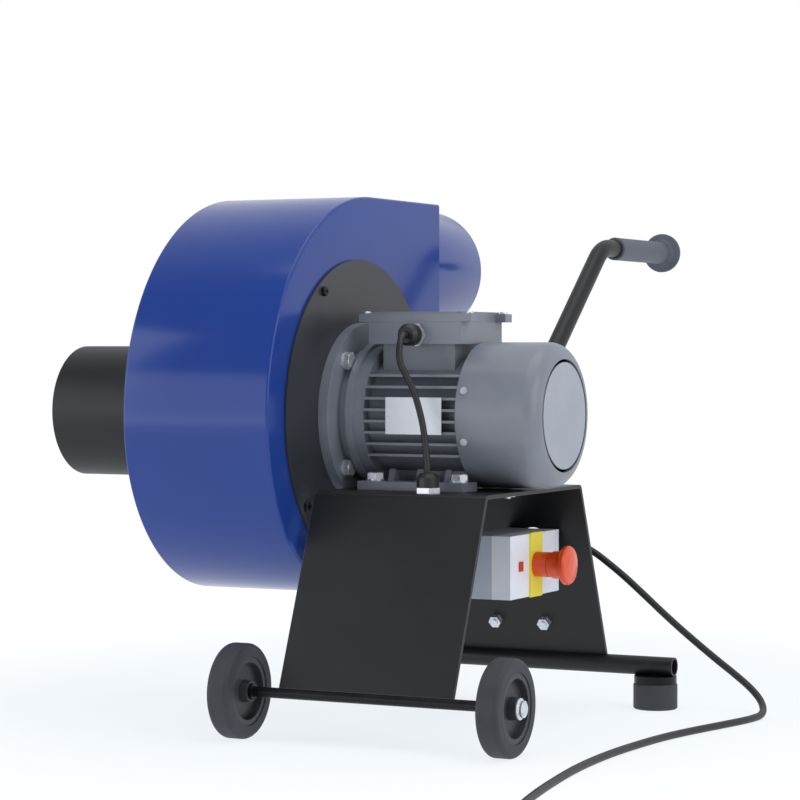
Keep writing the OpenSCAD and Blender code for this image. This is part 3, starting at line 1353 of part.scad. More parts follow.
scroll_wrapper();
casing_motor_side();
casing_inlet_side();
outlet_plate();
outlet_spigot();
inlet_pipe();
inlet_cone();
motor_plate();
casing_screws();
impeller_wheel();
impeller_shroud();
impeller_hub();
impeller_bolt();
motor_shaft();
rotor_core();
stator_core();
motor_bearings();
drive_end_shield();
stator_frame();
fan_end_shield();
cooling_fan();
fan_cowl();
cowl_end_plate();
cowl_screws();
motor_feet();
foot_bolts();
flange_bolts();
terminal_box();
terminal_box_lid();
terminal_box_screws();
terminal_block();
nameplate();
cable_glands();
gland_nuts();
motor_cable();
stand();
axle();
wheel_left_tyre();
wheel_left_hub();
wheel_right_tyre();
wheel_right_hub();
axle_caps();
foot_tube();
rubber_feet();
foot_cups();
handle_tube();
handle_clamp();
handle_bolts();
handle_grip();
switch_box();
switch_box_cover();
switch_box_bracket();
estop_plate();
estop_collar();
estop_plunger();
estop_button();
indicator_lens();
mains_cord();
cord_coil();
mains_plug();
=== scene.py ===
"""Portable fume extraction fan: the looks of every surface, the mains cord and the studio round it."""

import math

import bmesh
import bpy
from mathutils import Matrix, Vector


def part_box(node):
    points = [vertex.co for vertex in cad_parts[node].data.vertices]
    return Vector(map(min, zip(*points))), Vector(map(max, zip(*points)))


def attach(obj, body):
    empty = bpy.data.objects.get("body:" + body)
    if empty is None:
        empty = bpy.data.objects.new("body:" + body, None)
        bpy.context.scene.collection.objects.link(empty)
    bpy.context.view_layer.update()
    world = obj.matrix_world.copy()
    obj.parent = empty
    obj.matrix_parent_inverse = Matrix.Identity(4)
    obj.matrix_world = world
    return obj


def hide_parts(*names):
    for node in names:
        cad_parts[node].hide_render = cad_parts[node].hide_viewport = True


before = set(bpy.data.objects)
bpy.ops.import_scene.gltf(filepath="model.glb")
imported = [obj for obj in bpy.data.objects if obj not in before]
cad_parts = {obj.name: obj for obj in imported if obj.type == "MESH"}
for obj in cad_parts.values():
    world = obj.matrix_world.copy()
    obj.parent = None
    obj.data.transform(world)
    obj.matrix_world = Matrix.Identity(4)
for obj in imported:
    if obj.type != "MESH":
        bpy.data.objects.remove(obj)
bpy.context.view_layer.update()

# Camera, floor and lights
# The photograph is a product shot in a white studio: a long lens a little above the shaft, a pale floor
# that runs into a white backdrop, and large soft boxes above, to the left, in front and to the right.
# Places are given in millimetres from the flange face on the shaft's line, over the floor.
lo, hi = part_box("motor_plate")
ZERO = Vector((hi.x, (lo.y + hi.y) / 2, 0))
SHAFT_Z = 336


def at(x, y, z):
    return ZERO + Vector((x, y, z)) / 1000


camera_data = bpy.data.cameras.new("camera")
camera_data.sensor_width = 36
camera_data.lens = 119.0
camera_data.clip_start, camera_data.clip_end = 0.1, 60
camera = bpy.data.objects.new("camera", camera_data)
camera.location = at(1342.3, -2602.4, 407.95)
camera.rotation_euler = (math.radians(90 - 1.12), 0, math.radians(26.43))
bpy.context.collection.objects.link(camera)
bpy.context.scene.camera = camera
bpy.context.scene.view_settings.view_transform = "Standard"


def srgb(text):
    """Linear colour of an sRGB hex value."""
    out = []
    for i in (1, 3, 5):
        c = int(text[i:i + 2], 16) / 255
        out.append(c / 12.92 if c <= 0.04045 else ((c + 0.055) / 1.055) ** 2.4)
    return (*out, 1)


def add(tree, kind, settings, **links):
    """Adds a node, sets its properties and input values, and links sockets to its inputs by name, or by
    number as in i1."""
    node = tree.nodes.new(kind)
    for key, value in settings.items():
        if hasattr(node, key):
            setattr(node, key, value)
        else:
            node.inputs[key].default_value = value
    for key, socket in links.items():
        numbered = key.startswith("i") and key[1:].isdigit()
        tree.links.new(socket, node.inputs[int(key[1:]) if numbered else key.replace("_", " ")])
    return node


def first(tree, kind):
    """The tree's first node of a type."""
    return next(n for n in tree.nodes if n.type == kind)


def new_material(name):
    material = bpy.data.materials.new(name)
    material.use_nodes = True
    tree = material.node_tree
    tree.nodes.clear()
    shader = add(tree, "ShaderNodeBsdfPrincipled", {})
    add(tree, "ShaderNodeOutputMaterial", {}, Surface=shader.outputs[0])
    return material, tree, shader


def link_mesh(name, mesh, *materials, smooth=30):
    """Puts a finished mesh in the scene; edges sharper than smooth degrees stay sharp, and None leaves it flat."""
    thing = bpy.data.objects.new(name, mesh)
    bpy.context.collection.objects.link(thing)
    for material in materials:
        mesh.materials.append(material)
    if smooth is not None:
        mesh.shade_smooth()
        mesh.set_sharp_from_angle(angle=math.radians(smooth))
    return thing


floor_mesh = bpy.data.meshes.new("studio_floor")
floor_mesh.from_pydata([(-12, -12, 0), (12, -12, 0), (12, 12, 0), (-12, 12, 0)], [], [(0, 1, 2, 3)])
paper, tree, shader = new_material("white paper sweep")
shader.inputs["Base Color"].default_value = srgb("#f4f5f8")
shader.inputs["Roughness"].default_value = 0.9
rays = add(tree, "ShaderNodeLightPath", {})
# The sweep is lit as an object only near the fan: far off it is as white as the backdrop
coords = add(tree, "ShaderNodeTexCoord", {})
ball = add(tree, "ShaderNodeTexGradient", {"gradient_type": "SPHERICAL"})
mapping = add(tree, "ShaderNodeMapping", {"Location": (-0.01, 0.0, 0), "Scale": (1.25, 1.05, 1)},
              Vector=coords.outputs["Object"])
tree.links.new(mapping.outputs[0], ball.inputs[0])
near = add(tree, "ShaderNodeMapRange", {"From Min": 0.0, "From Max": 0.45, "To Min": 1.0, "To Max": 0.8},
           Value=ball.outputs["Fac"])
hue = add(tree, "ShaderNodeValToRGB", {}, Fac=near.outputs[0])
hue.color_ramp.elements[0].position, hue.color_ramp.elements[0].color = 0.8, (0.93, 0.97, 1, 1)
hue.color_ramp.elements[1].color = (1, 1, 1, 1)
white = add(tree, "ShaderNodeEmission", {"Strength": 1.03}, Color=hue.outputs[0])
blend = add(tree, "ShaderNodeMixShader", {}, Fac=near.outputs[0], i1=shader.outputs[0], i2=white.outputs[0])
# What the fan's underside and its gloss see is paper lit from below as well
bounce = add(tree, "ShaderNodeMixShader", {"Fac": 0.85}, i1=shader.outputs[0], i2=white.outputs[0])
seen = add(tree, "ShaderNodeMixShader", {}, Fac=rays.outputs["Is Camera Ray"], i1=bounce.outputs[0],
           i2=blend.outputs[0])
output = first(tree, "OUTPUT_MATERIAL")
tree.links.new(seen.outputs[0], output.inputs["Surface"])
studio_floor = link_mesh("studio_floor", floor_mesh, paper, smooth=None)

world = bpy.data.worlds.new("studio")
bpy.context.scene.world = world
world.use_nodes = True
sky = world.node_tree
sky.nodes.clear()
rays = add(sky, "ShaderNodeLightPath", {})
# The room is dark on the camera's side and grows lighter towards the backdrop behind the fan
direction = add(sky, "ShaderNodeTexCoord", {})
toward = add(sky, "ShaderNodeSeparateXYZ", {}, Vector=direction.outputs["Generated"])
behind = add(sky, "ShaderNodeMapRange", {"From Min": -0.35, "From Max": 0.45, "To Min": 0.22, "To Max": 0.9},
             Value=toward.outputs["Y"])
fill = add(sky, "ShaderNodeBackground", {"Color": (0.93, 0.96, 1.0, 1)}, Strength=behind.outputs[0])
white = add(sky, "ShaderNodeBackground", {"Color": (1, 1, 1, 1), "Strength": 1.0})
mixed = add(sky, "ShaderNodeMixShader", {}, Fac=rays.outputs["Is Camera Ray"], i1=fill.outputs[0],
            i2=white.outputs[0])
add(sky, "ShaderNodeOutputWorld", {}, Surface=mixed.outputs[0])


def soft_box(name, place, aim, width, height, power):
    light = bpy.data.lights.new(name, "AREA")
    light.shape = "RECTANGLE"
    light.size, light.size_y, light.energy = width, height, power
    thing = bpy.data.objects.new(name, light)
    thing.location = at(*place)
    thing.rotation_euler = (at(*aim) - thing.location).to_track_quat("-Z", "Y").to_euler()
    bpy.context.collection.objects.link(thing)


soft_box("top_box", (300, -200, 2600), (0, 0, 300), 2.2, 2.0, 23)
soft_box("left_box", (-2300, -1500, 1100), (-60, 0, 350), 1.6, 2.0, 20)
soft_box("front_box", (-1500, -3000, 520), (0, 0, 300), 3.4, 1.7, 25)
soft_box("right_box", (2300, -700, 1300), (100, 0, 350), 1.6, 2.0, 22)


# Mains cord
# Rubber-sheathed three-core lead, 8 mm thick and about 5 m long, that leaves the switch box through a
# tapered sleeve, drops to the floor and is wound up beside the fan, held by a strap, with its plug by it.
CORD_D = 8
route = [
    (146, 152, 189.1), (146, 170, 189.1), (146, 189.5, 189.1), (148.5, 202, 188.6), (157, 215, 186), (170, 224.5, 181),
    (186, 229, 172), (204, 230, 159.5), (224, 230, 144.5), (246, 229.5, 126.5), (268, 229, 108), (290, 229, 90),
    (312, 229, 73), (334, 228, 57), (356, 226, 42), (376, 221, 28.5), (392, 210, 17), (402, 193, 8.5), (406, 172, 4.6),
    (405, 148, 4), (401, 122, 4), (394, 92, 4), (386, 60, 4), (378, 26, 4), (371, -10, 4), (366, -48, 4),
    (363, -88, 4), (361, -130, 4), (361, -174, 4), (363, -220, 4), (367, -266, 4), (373, -312, 4), (380, -358, 4),
    (388, -404, 4), (397, -448, 4), (407, -490, 4), (418, -532, 4), (429, -572, 4), (439, -612, 4), (447, -652, 4),
    (452, -684, 4), (453.4, -708, 4),
]
COIL_X, COIL_Y, COIL_LOOPS, COIL_LAYERS, COIL_MID_R, COIL_PITCH, COIL_CLIMB = 391, -716, 12.25, 4, 49, 8.75, 8.6
COIL_LAP = COIL_LOOPS / COIL_LAYERS
COIL_CENTRE = Vector((COIL_X, COIL_Y, 0))
TURN_STEPS, LINE_STEPS, TAIL_STEPS = 48, 6, 4
# From the coil's end down to the plug
TAIL = [(-12, -0.5, -0.5), (-26, -3, -2.5), (-42, -8, -6.5), (-56, -12.5, -10), (-66, -14.5, -11.7), (-74, -15, -11.8)]


def coil_point(u):
    """Place on the coil after u turns: it spirals in and out again and climbs a layer at each reversal."""
    out = abs(u / COIL_LAP - 2 * math.floor(u / COIL_LAP / 2) - 1)
    r = COIL_MID_R + COIL_PITCH * COIL_LAP * (out - 0.5)
    z = CORD_D / 2
    for k in range(1, COIL_LAYERS):
        s = min(max((u - k * COIL_LAP) * 2 + 0.5, 0), 1)
        z += COIL_CLIMB * s * s * (3 - 2 * s)
    return Vector((COIL_X + r * math.cos(u * math.tau), COIL_Y - r * math.sin(u * math.tau), z))


def spline(points, steps):
    """Catmull-Rom curve through the points."""
    out = []
    for i in range(len(points) - 1):
        a, b, c, d = (points[j] for j in (max(i - 1, 0), i, i + 1, min(i + 2, len(points) - 1)))
        for k in range(steps):
            t = k / steps
            out.append(b + t / 2 * (c - a) + t * t * (a - 2.5 * b + 2 * c - d / 2)
                       + t ** 3 * (1.5 * (b - c) + (d - a) / 2))
    return out + [points[-1]]


free = spline([Vector(p) for p in route] + [coil_point(0)], LINE_STEPS)
wound = [coil_point(i / TURN_STEPS) for i in range(1, int(COIL_LOOPS * TURN_STEPS) + 1)]
tail = [wound[-1] + Vector(p) for p in TAIL]
cord_line = free + wound + spline([wound[-1]] + tail, TAIL_STEPS)[1:]


def tube_mesh(name, points, radius, sides=16):
    """Round tube swept along points given in millimetres, with closed ends."""
    line = [at(*p) for p in points]
    bm = bmesh.new()
    rings = []
    side = None
    for i, p in enumerate(line):
        run = (line[min(i + 1, len(line) - 1)] - line[max(i - 1, 0)]).normalized()
        side = run.orthogonal().normalized() if side is None else (side - side.dot(run) * run).normalized()
        other = run.cross(side)
        rings.append([bm.verts.new(p + radius / 1000 * (math.cos(a) * side + math.sin(a) * other))
                      for a in (math.tau * k / sides for k in range(sides))])
    for a, b in zip(rings, rings[1:]):
        for k in range(sides):
            bm.faces.new((a[k], a[(k + 1) % sides], b[(k + 1) % sides], b[k]))
    bm.faces.new(reversed(rings[0]))
    bm.faces.new(rings[-1])
    mesh = bpy.data.meshes.new(name)
    bm.to_mesh(mesh)
    bm.free()
    return mesh


def rounded(corners, steps=5):
    """Closed outline from (x, y, radius) corners, each turned with an arc of that radius."""
    out = []
    for i, (x, y, r) in enumerate(corners):
        p = Vector((x, y))
        to_last = (Vector(corners[i - 1][:2]) - p).normalized()
        to_next = (Vector(corners[(i + 1) % len(corners)][:2]) - p).normalized()
        if r <= 0:
            out.append((x, y))
            continue
        half = to_last.angle(to_next) / 2
        centre = p + (to_last + to_next).normalized() * (r / math.sin(half))
        start, end = p + to_last * (r / math.tan(half)) - centre, p + to_next * (r / math.tan(half)) - centre
        swing = start.angle_signed(end)
        for k in range(steps + 1):
            a = -swing * k / steps
            out.append((centre.x + start.x * math.cos(a) - start.y * math.sin(a),
                        centre.y + start.x * math.sin(a) + start.y * math.cos(a)))
    return out


def sheath_material():
    """Rubber sheath: near black with a dull, slightly waxy surface and faint mottling from handling."""
    material, tree, shader = new_material("neoprene rubber sheath")
    coords = add(tree, "ShaderNodeTexCoord", {})
    mottle = add(tree, "ShaderNodeTexNoise", {"Scale": 60, "Detail": 4}, Vector=coords.outputs["Object"])
    tone = add(tree, "ShaderNodeValToRGB", {}, Fac=mottle.outputs["Fac"])
    tone.color_ramp.elements[0].color, tone.color_ramp.elements[1].color = srgb("#141619"), srgb("#23262a")
    tree.links.new(tone.outputs[0], shader.inputs["Base Color"])
    gloss = add(tree, "ShaderNodeMapRange", {"To Min": 0.42, "To Max": 0.58}, Value=mottle.outputs["Fac"])
    tree.links.new(gloss.outputs[0], shader.inputs["Roughness"])
    skin = add(tree, "ShaderNodeTexNoise", {"Scale": 900, "Detail": 2}, Vector=coords.outputs["Object"])
    bump = add(tree, "ShaderNodeBump", {"Strength": 0.12, "Distance": 0.0002}, Height=skin.outputs["Fac"])
    tree.links.new(bump.outputs[0], shader.inputs["Normal"])
    return material


sheath = sheath_material()
mains_lead = link_mesh("mains_lead", tube_mesh("mains_lead", cord_line, CORD_D / 2), sheath)
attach(mains_lead, "frame")
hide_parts("mains_cord", "cord_coil")

# Woven hook-and-loop strap, once round the coil on the side that faces the fan
STRAP_ANGLE, STRAP_W, STRAP_T, STRAP_BEND = math.radians(98), 12, 0.9, 4
woven, tree, shader = new_material("woven polyester strap")
coords = add(tree, "ShaderNodeTexCoord", {})
weave = add(tree, "ShaderNodeTexWave", {"Scale": 420, "Distortion": 1.2}, Vector=coords.outputs["Object"])
tone = add(tree, "ShaderNodeValToRGB", {}, Fac=weave.outputs["Fac"])
tone.color_ramp.elements[0].color, tone.color_ramp.elements[1].color = srgb("#1c1e22"), srgb("#34373d")
tree.links.new(tone.outputs[0], shader.inputs["Base Color"])
shader.inputs["Roughness"].default_value = 0.85
ribs = add(tree, "ShaderNodeBump", {"Strength": 0.6, "Distance": 0.0003}, Height=weave.outputs["Fac"])
tree.links.new(ribs.outputs[0], shader.inputs["Normal"])
radial = Vector((math.cos(STRAP_ANGLE), math.sin(STRAP_ANGLE), 0))
along = Vector((-math.sin(STRAP_ANGLE), math.cos(STRAP_ANGLE), 0))
# Radius and height of the turns that lie under the strap
held = [p - COIL_CENTRE for p in wound]
held = [(q.dot(radial), q.z) for q in held if abs(q.dot(along)) < STRAP_W / 2 and q.dot(radial) > 0]
near_r, far_r = min(q[0] for q in held) - CORD_D / 2, max(q[0] for q in held) + CORD_D / 2
top_z = max(q[1] for q in held) + CORD_D / 2
loops = [rounded([(near_r - t, STRAP_T - t, STRAP_BEND + t), (far_r + t, STRAP_T - t, STRAP_BEND + t),
                  (far_r + t, top_z + t, STRAP_BEND + t), (near_r - t, top_z + t, STRAP_BEND + t)])
         for t in (0, STRAP_T)]
bm = bmesh.new()
sections = []
for low, high in zip(*loops):
    corners = [(low, -STRAP_W / 2), (low, STRAP_W / 2), (high, STRAP_W / 2), (high, -STRAP_W / 2)]
    sections.append([bm.verts.new(at(*(COIL_CENTRE + radial * q[0] + along * w + Vector((0, 0, q[1])))))
                     for q, w in corners])
for one, two in zip(sections, sections[1:] + sections[:1]):
    for k in range(4):
        bm.faces.new((one[k], one[(k + 1) % 4], two[(k + 1) % 4], two[k]))
bmesh.ops.recalc_face_normals(bm, faces=bm.faces)
strap_mesh = bpy.data.meshes.new("cord_strap")
bm.to_mesh(strap_mesh)
bm.free()
cord_strap = link_mesh("cord_strap", strap_mesh, woven)
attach(cord_strap, "frame")


# Surface finishes
# Every CAD node keeps its slot and gets the real finish of that slot: enamel on the casing, textured powder
# coat on the stand, cast and painted motor parts, plated screws, moulded plastics and rubbers. Each one
# varies in tone and gloss, has its own grain, and rounds its edges a little where light catches them.


def finish(name, dark, light, rough, grain, depth, patch=9, edge=0.5, **shading):
    """Finish with drifting tone between two colours, gloss drifting between two values, grain (its scale per
    metre and depth in millimetres) and edges rounded to a radius in millimetres."""
    material, tree, shader = new_material(name)
    coords = add(tree, "ShaderNodeTexCoord", {})
    drift = add(tree, "ShaderNodeTexNoise", {"Scale": patch, "Detail": 5, "Roughness": 0.6},
                Vector=coords.outputs["Object"])
    tone = add(tree, "ShaderNodeValToRGB", {}, Fac=drift.outputs["Fac"])
    tone.color_ramp.elements[0].position, tone.color_ramp.elements[1].position = 0.3, 0.7
    tone.color_ramp.elements[0].color, tone.color_ramp.elements[1].color = srgb(dark), srgb(light)
    tree.links.new(tone.outputs[0], shader.inputs["Base Color"])
    gloss = add(tree, "ShaderNodeMapRange", {"From Min": 0.3, "From Max": 0.7, "To Min": rough[0], "To Max": rough[1]},
                Value=drift.outputs["Fac"])
    tree.links.new(gloss.outputs[0], shader.inputs["Roughness"])
    skin = add(tree, "ShaderNodeTexNoise", {"Scale": grain, "Detail": 3}, Vector=coords.outputs["Object"])
    soft = add(tree, "ShaderNodeBevel", {"samples": 4, "Radius": edge / 1000})
    bump = add(tree, "ShaderNodeBump", {"Strength": 0.5, "Distance": depth / 1000}, Height=skin.outputs["Fac"],
               Normal=soft.outputs[0])
    tree.links.new(bump.outputs[0], shader.inputs["Normal"])
    for key, value in shading.items():
        shader.inputs[key.replace("_", " ")].default_value = value
    return material


def banded(material, direction, scale, depth, strength=0.5):
    """Adds fine parallel marks, such as turning marks or sheet edges, over the finish's grain."""
    tree = material.node_tree
    bump = first(tree, "BUMP")
    coords = first(tree, "TEX_COORD")
    lines = add(tree, "ShaderNodeTexWave", {"bands_direction": direction, "Scale": scale, "Distortion": 0.4},
                Vector=coords.outputs["Object"])
    marks = add(tree, "ShaderNodeBump", {"Strength": strength, "Distance": depth / 1000}, Height=lines.outputs["Fac"],
                Normal=bump.outputs[0])
    shader = first(tree, "BSDF_PRINCIPLED")
    tree.links.new(marks.outputs[0], shader.inputs["Normal"])
    return material


def painted_edge_highlight(material, colour, radius):
    """Mixes a lighter colour into the paint along sheet edges, over a radius in millimetres: a painted highlight
    standing in for the light that the edges catch.
    """
    tree = material.node_tree
    shader = first(tree, "BSDF_PRINCIPLED")
    paint = shader.inputs["Base Color"].links[0].from_socket
    # Edge mask for the painted highlight: where the rounded normal turns away from the true one
    turned = add(tree, "ShaderNodeBevel", {"samples": 6, "Radius": radius / 1000})
    flat = add(tree, "ShaderNodeNewGeometry", {})
    level = add(tree, "ShaderNodeVectorMath", {"operation": "DOT_PRODUCT"}, i0=turned.outputs[0],
                i1=flat.outputs["Normal"])
    edge = add(tree, "ShaderNodeMapRange", {"From Min": 0.8, "From Max": 0.97, "To Min": 0.8, "To Max": 0.0},
               Value=level.outputs["Value"])
    mixed = add(tree, "ShaderNodeMix", {"data_type": "RGBA"})
    mixed.inputs[7].default_value = srgb(colour)
    tree.links.new(edge.outputs[0], mixed.inputs[0])
    tree.links.new(paint, mixed.inputs[6])
    tree.links.new(mixed.outputs[2], shader.inputs["Base Color"])
    return material


FINISHES = {
    # two coats of stove enamel, sprayed: smooth with a trace of orange peel
    "blue_paint": finish("blue stove enamel", "#1c3a86", "#204090", (0.15, 0.2), 260, 0.05, patch=3,
                         Specular_IOR_Level=0.35, Coat_Weight=0.06, Coat_Roughness=0.06),
    # epoxy powder coat with a fine leather texture, with a lighter colour mixed in along its edges as a painted
    # highlight
    "black_paint": painted_edge_highlight(finish("black powder coat", "#0f1114", "#16191d", (0.4, 0.5), 1500, 0.06, patch=6,
                                       edge=0.7, Specular_IOR_Level=0.4), "#5a5f68", 1.4),
    # sprayed satin paint on cast aluminium: the casting skin shows through
    "motor_paint": finish("grey painted cast aluminium", "#717782", "#7e8490", (0.34, 0.46), 900, 0.05, patch=14,
                          edge=0.8, Coat_Weight=0.1),
    # lighter and finer-grained than the stand: the plate that the motor's flange is bolted to
    "plate_paint": finish("anthracite structure paint", "#26292e", "#34373d", (0.34, 0.46), 2200, 0.08, patch=8,
                          edge=0.6),
    "motor_light_paint": finish("light grey painted steel", "#949aa6", "#a0a6b1", (0.36, 0.46), 800, 0.03, patch=14),
    "impeller_paint": finish("painted impeller sheet", "#363b42", "#444951", (0.45, 0.6), 700, 0.04, patch=20),
    "galvanised_sheet": finish("galvanised steel sheet", "#7f848b", "#a6abb2", (0.3, 0.5), 500, 0.02, patch=160,
                               Metallic=0.9),
    # screws and tubes blackened by phosphating and oil
    "black_steel": finish("blackened steel", "#121316", "#1e2024", (0.3, 0.45), 1200, 0.02, patch=60, Metallic=0.6),
    "zinc_plate": finish("bright zinc plating", "#ccd1d9", "#e6e9ee", (0.24, 0.36), 900, 0.02, patch=120, edge=0.4,
                         Metallic=0.75),
    "machined_steel": banded(finish("turned steel", "#a5a9b0", "#bfc3c9", (0.2, 0.32), 600, 0.01, patch=60,
                                    Metallic=1.0), "X", 900, 0.02),
    "lamination_steel": banded(finish("varnished laminations", "#6d655b", "#857c70", (0.4, 0.6), 400, 0.02, patch=50,
                                      Metallic=0.5), "X", 640, 0.15),
    "bare_aluminium": banded(finish("brushed aluminium plate", "#d3d8e0", "#e2e6ee", (0.45, 0.55), 500, 0.01, patch=40,
                                    edge=0.2, Metallic=0.7), "Z", 1300, 0.01, 0.3),
    "black_plastic": finish("black polyamide", "#101214", "#1a1c20", (0.38, 0.5), 1300, 0.03, patch=40),
    "brown_plastic": finish("phenolic moulding", "#33281f", "#45372c", (0.3, 0.45), 600, 0.03, patch=70),
    "wheel_rubber": finish("grey tread rubber", "#2b2e34", "#3a3d44", (0.6, 0.75), 800, 0.08, patch=45, edge=0.8),
    "wheel_plastic": finish("dark grey polypropylene", "#26292f", "#33363d", (0.42, 0.55), 1100, 0.04, patch=35),
    "foot_rubber": finish("moulded rubber", "#2b2e33", "#393c42", (0.55, 0.7), 900, 0.06, patch=50, edge=1.0),
    "grip_rubber": finish("soft grip rubber", "#4c525d", "#575e6a", (0.5, 0.64), 700, 0.1, patch=40, edge=1.0),
    "grey_plastic": finish("light grey ABS", "#b0b8ca", "#bac2d3", (0.36, 0.46), 900, 0.03, patch=25, edge=0.8),
    "white_plastic": finish("white ABS", "#dfe4f0", "#e9edf6", (0.34, 0.44), 900, 0.03, patch=25, edge=0.8),
    "yellow_plastic": finish("yellow backing plate", "#e9da20", "#f2e630", (0.3, 0.4), 900, 0.02, patch=30, edge=0.3),
    "red_plastic": finish("orange red polyamide", "#d8430d", "#e65016", (0.26, 0.36), 600, 0.02, patch=50, edge=0.6,
                          Coat_Weight=0.15),
    "red_lens": finish("ribbed red lens", "#cf3414", "#ee5a32", (0.12, 0.2), 300, 0.05, patch=300, edge=0.3,
                       Transmission_Weight=0.25, Coat_Weight=0.5),
    "black_rubber": sheath,
}
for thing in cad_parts.values():
    for slot in thing.material_slots:
        slot.material = FINISHES.get(slot.material.name.split(".")[0], slot.material)
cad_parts["motor_plate"].material_slots[0].material = FINISHES["plate_paint"]


# Fan casing
# Welded scroll of blue enamelled sheet: two flat side sheets with rounded rims and a wrapper that follows a
# large arc over the top, a smaller one round the side and the bottom, and a tight one at the tongue, up to
# the flat outlet. The outlet's end stays open for the plate inside it.
CASE_BACK, CASE_FACE, SHEET, WRAP, REACH = -180, -3, 3, 2, 208
INLET_HOLE_R, MOTOR_HOLE_R, HOLE_STEPS, RIM_STEPS = 73, 156, 96, 8
TOP_STEPS, SIDE_STEPS, NOSE_STEPS = 96, 180, 16
TOP_C, TOP_R, SIDE_R, JOIN, ROOF, FLOOR_Z, NOSE = (34.5, 1), 240, 192.5, 187, 241, 90, 9
SIDE_C = [TOP_C[i] + (TOP_R - SIDE_R) * f(math.radians(JOIN)) for i, f in enumerate((math.cos, math.sin))]
TONGUE = math.degrees(math.asin((FLOOR_Z - NOSE - SIDE_C[1]) / (SIDE_R + NOSE)))
NOSE_C = [SIDE_C[i] + (SIDE_R + NOSE) * f(math.radians(TONGUE)) for i, f in enumerate((math.cos, math.sin))]


def arc(centre, radius, start, end, steps):
    angles = [math.radians(start + (end - start) * i / steps) for i in range(steps + 1)]
    return [(centre[0] + radius * math.cos(a), centre[1] + radius * math.sin(a)) for a in angles]


def scroll_line(inset):
    """The casing's outline from the outlet's upper edge round to its lower edge, as (Y, height over the shaft)."""
    return ([(REACH, ROOF - inset)] + arc(TOP_C, TOP_R - inset, 90, JOIN, TOP_STEPS)
            + arc(SIDE_C, SIDE_R - inset, JOIN, 360 + TONGUE, SIDE_STEPS)[1:]
            + arc(NOSE_C, NOSE + inset, 180 + TONGUE, 90, NOSE_STEPS)[1:] + [(REACH, FLOOR_Z + inset)])


def grid_faces(bm, rows, closed=False):
    """Quads between neighbouring rows of vertices."""
    for a, b in zip(rows, rows[1:]):
        for k in range(len(a) - (0 if closed else 1)):
            j = (k + 1) % len(a)
            bm.faces.new((a[k], a[j], b[j], b[k]))


def fill_flat(bm, *loops):
    """Fills the flat area between an outer loop of vertices and the holes in it."""
    edges = []
    for loop in loops:
        for a, b in zip(loop, loop[1:] + loop[:1]):
            edges.append(bm.edges.get((a, b)) or bm.edges.new((a, b)))
    bmesh.ops.triangle_fill(bm, use_beauty=True, use_dissolve=False, edges=edges)


def done_mesh(name, bm):
    bmesh.ops.remove_doubles(bm, verts=bm.verts, dist=1e-6)
    bmesh.ops.recalc_face_normals(bm, faces=bm.faces)
    mesh = bpy.data.meshes.new(name)
    bm.to_mesh(mesh)
    bm.free()
    return mesh


def shell_vertex(bm, x, point):
    return bm.verts.new(at(x, point[0], SHAFT_Z + point[1]))


bm = bmesh.new()
quarter = [math.radians(90 * i / RIM_STEPS) for i in range(RIM_STEPS + 1)]
rim = [(SHEET * (1 - math.cos(t)), SHEET * (1 - math.sin(t))) for t in quarter]
profile = [(CASE_BACK + a, b) for a, b in rim] + [(CASE_FACE - a, b) for a, b in reversed(rim)]
outer = [[shell_vertex(bm, x, p) for p in scroll_line(inset)] for x, inset in profile]
inner = [[shell_vertex(bm, x, p) for p in scroll_line(WRAP)] for x in (CASE_BACK + SHEET, CASE_FACE - SHEET)]
grid_faces(bm, outer)
grid_faces(bm, inner)
for face_x, inside_x, skin, lining, hole_r in ((CASE_BACK, CASE_BACK + SHEET, outer[0], inner[0], INLET_HOLE_R),
                                               (CASE_FACE, CASE_FACE - SHEET, outer[-1], inner[1], MOTOR_HOLE_R)):
    ring = arc((0, 0), hole_r, 0, 360 - 360 / HOLE_STEPS, HOLE_STEPS - 1)
    holes = [[shell_vertex(bm, x, p) for p in ring] for x in (face_x, inside_x)]
    grid_faces(bm, holes, closed=True)
    fill_flat(bm, skin, holes[0])
    fill_flat(bm, lining, holes[1])
mouth = [row[0] for row in outer] + [row[-1] for row in reversed(outer)]
fill_flat(bm, mouth, [inner[0][0], inner[1][0], inner[1][-1], inner[0][-1]])
casing_shell = link_mesh("casing_shell", done_mesh("casing_shell", bm), FINISHES["blue_paint"])
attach(casing_shell, "frame")
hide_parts("scroll_wrapper", "casing_motor_side", "casing_inlet_side")


# Outlet spigot
# Rolled tube of 2 mm sheet that the extraction hose pushes over, with the edges of its mouth a little round.
# The inlet's pipe keeps the shape of its CAD node.


def revolve(name, profile, centre, axis, *materials, steps=128, smooth=30):
    """Closed profile of (along, radius) pairs in millimetres, turned about a line through centre along axis."""
    bm = bmesh.new()
    turn = Vector((0, 0, 1)).rotation_difference(Vector(axis)).to_matrix()
    rows = []
    for i in range(steps):
        a = math.tau * i / steps
        rows.append([bm.verts.new(at(*(Vector(centre) + turn @ Vector((r * math.cos(a), r * math.sin(a), h)))))
                     for h, r in profile])
    for a, b in zip(rows, rows[1:] + rows[:1]):
        for k in range(len(profile)):
            j = (k + 1) % len(profile)
            if max(profile[k][1], profile[j][1]) > 0:
                bm.faces.new((a[k], a[j], b[j], b[k]))
    bmesh.ops.remove_doubles(bm, verts=bm.verts, dist=1e-6)
    bmesh.ops.dissolve_degenerate(bm, edges=bm.edges, dist=1e-7)
    return link_mesh(name, done_mesh(name, bm), *materials, smooth=smooth)


def own(piece, body, slot, *nodes):
    """Puts a piece on a body in place of the nodes. The slot is not used."""
    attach(piece, body)
    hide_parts(*nodes)
    return piece


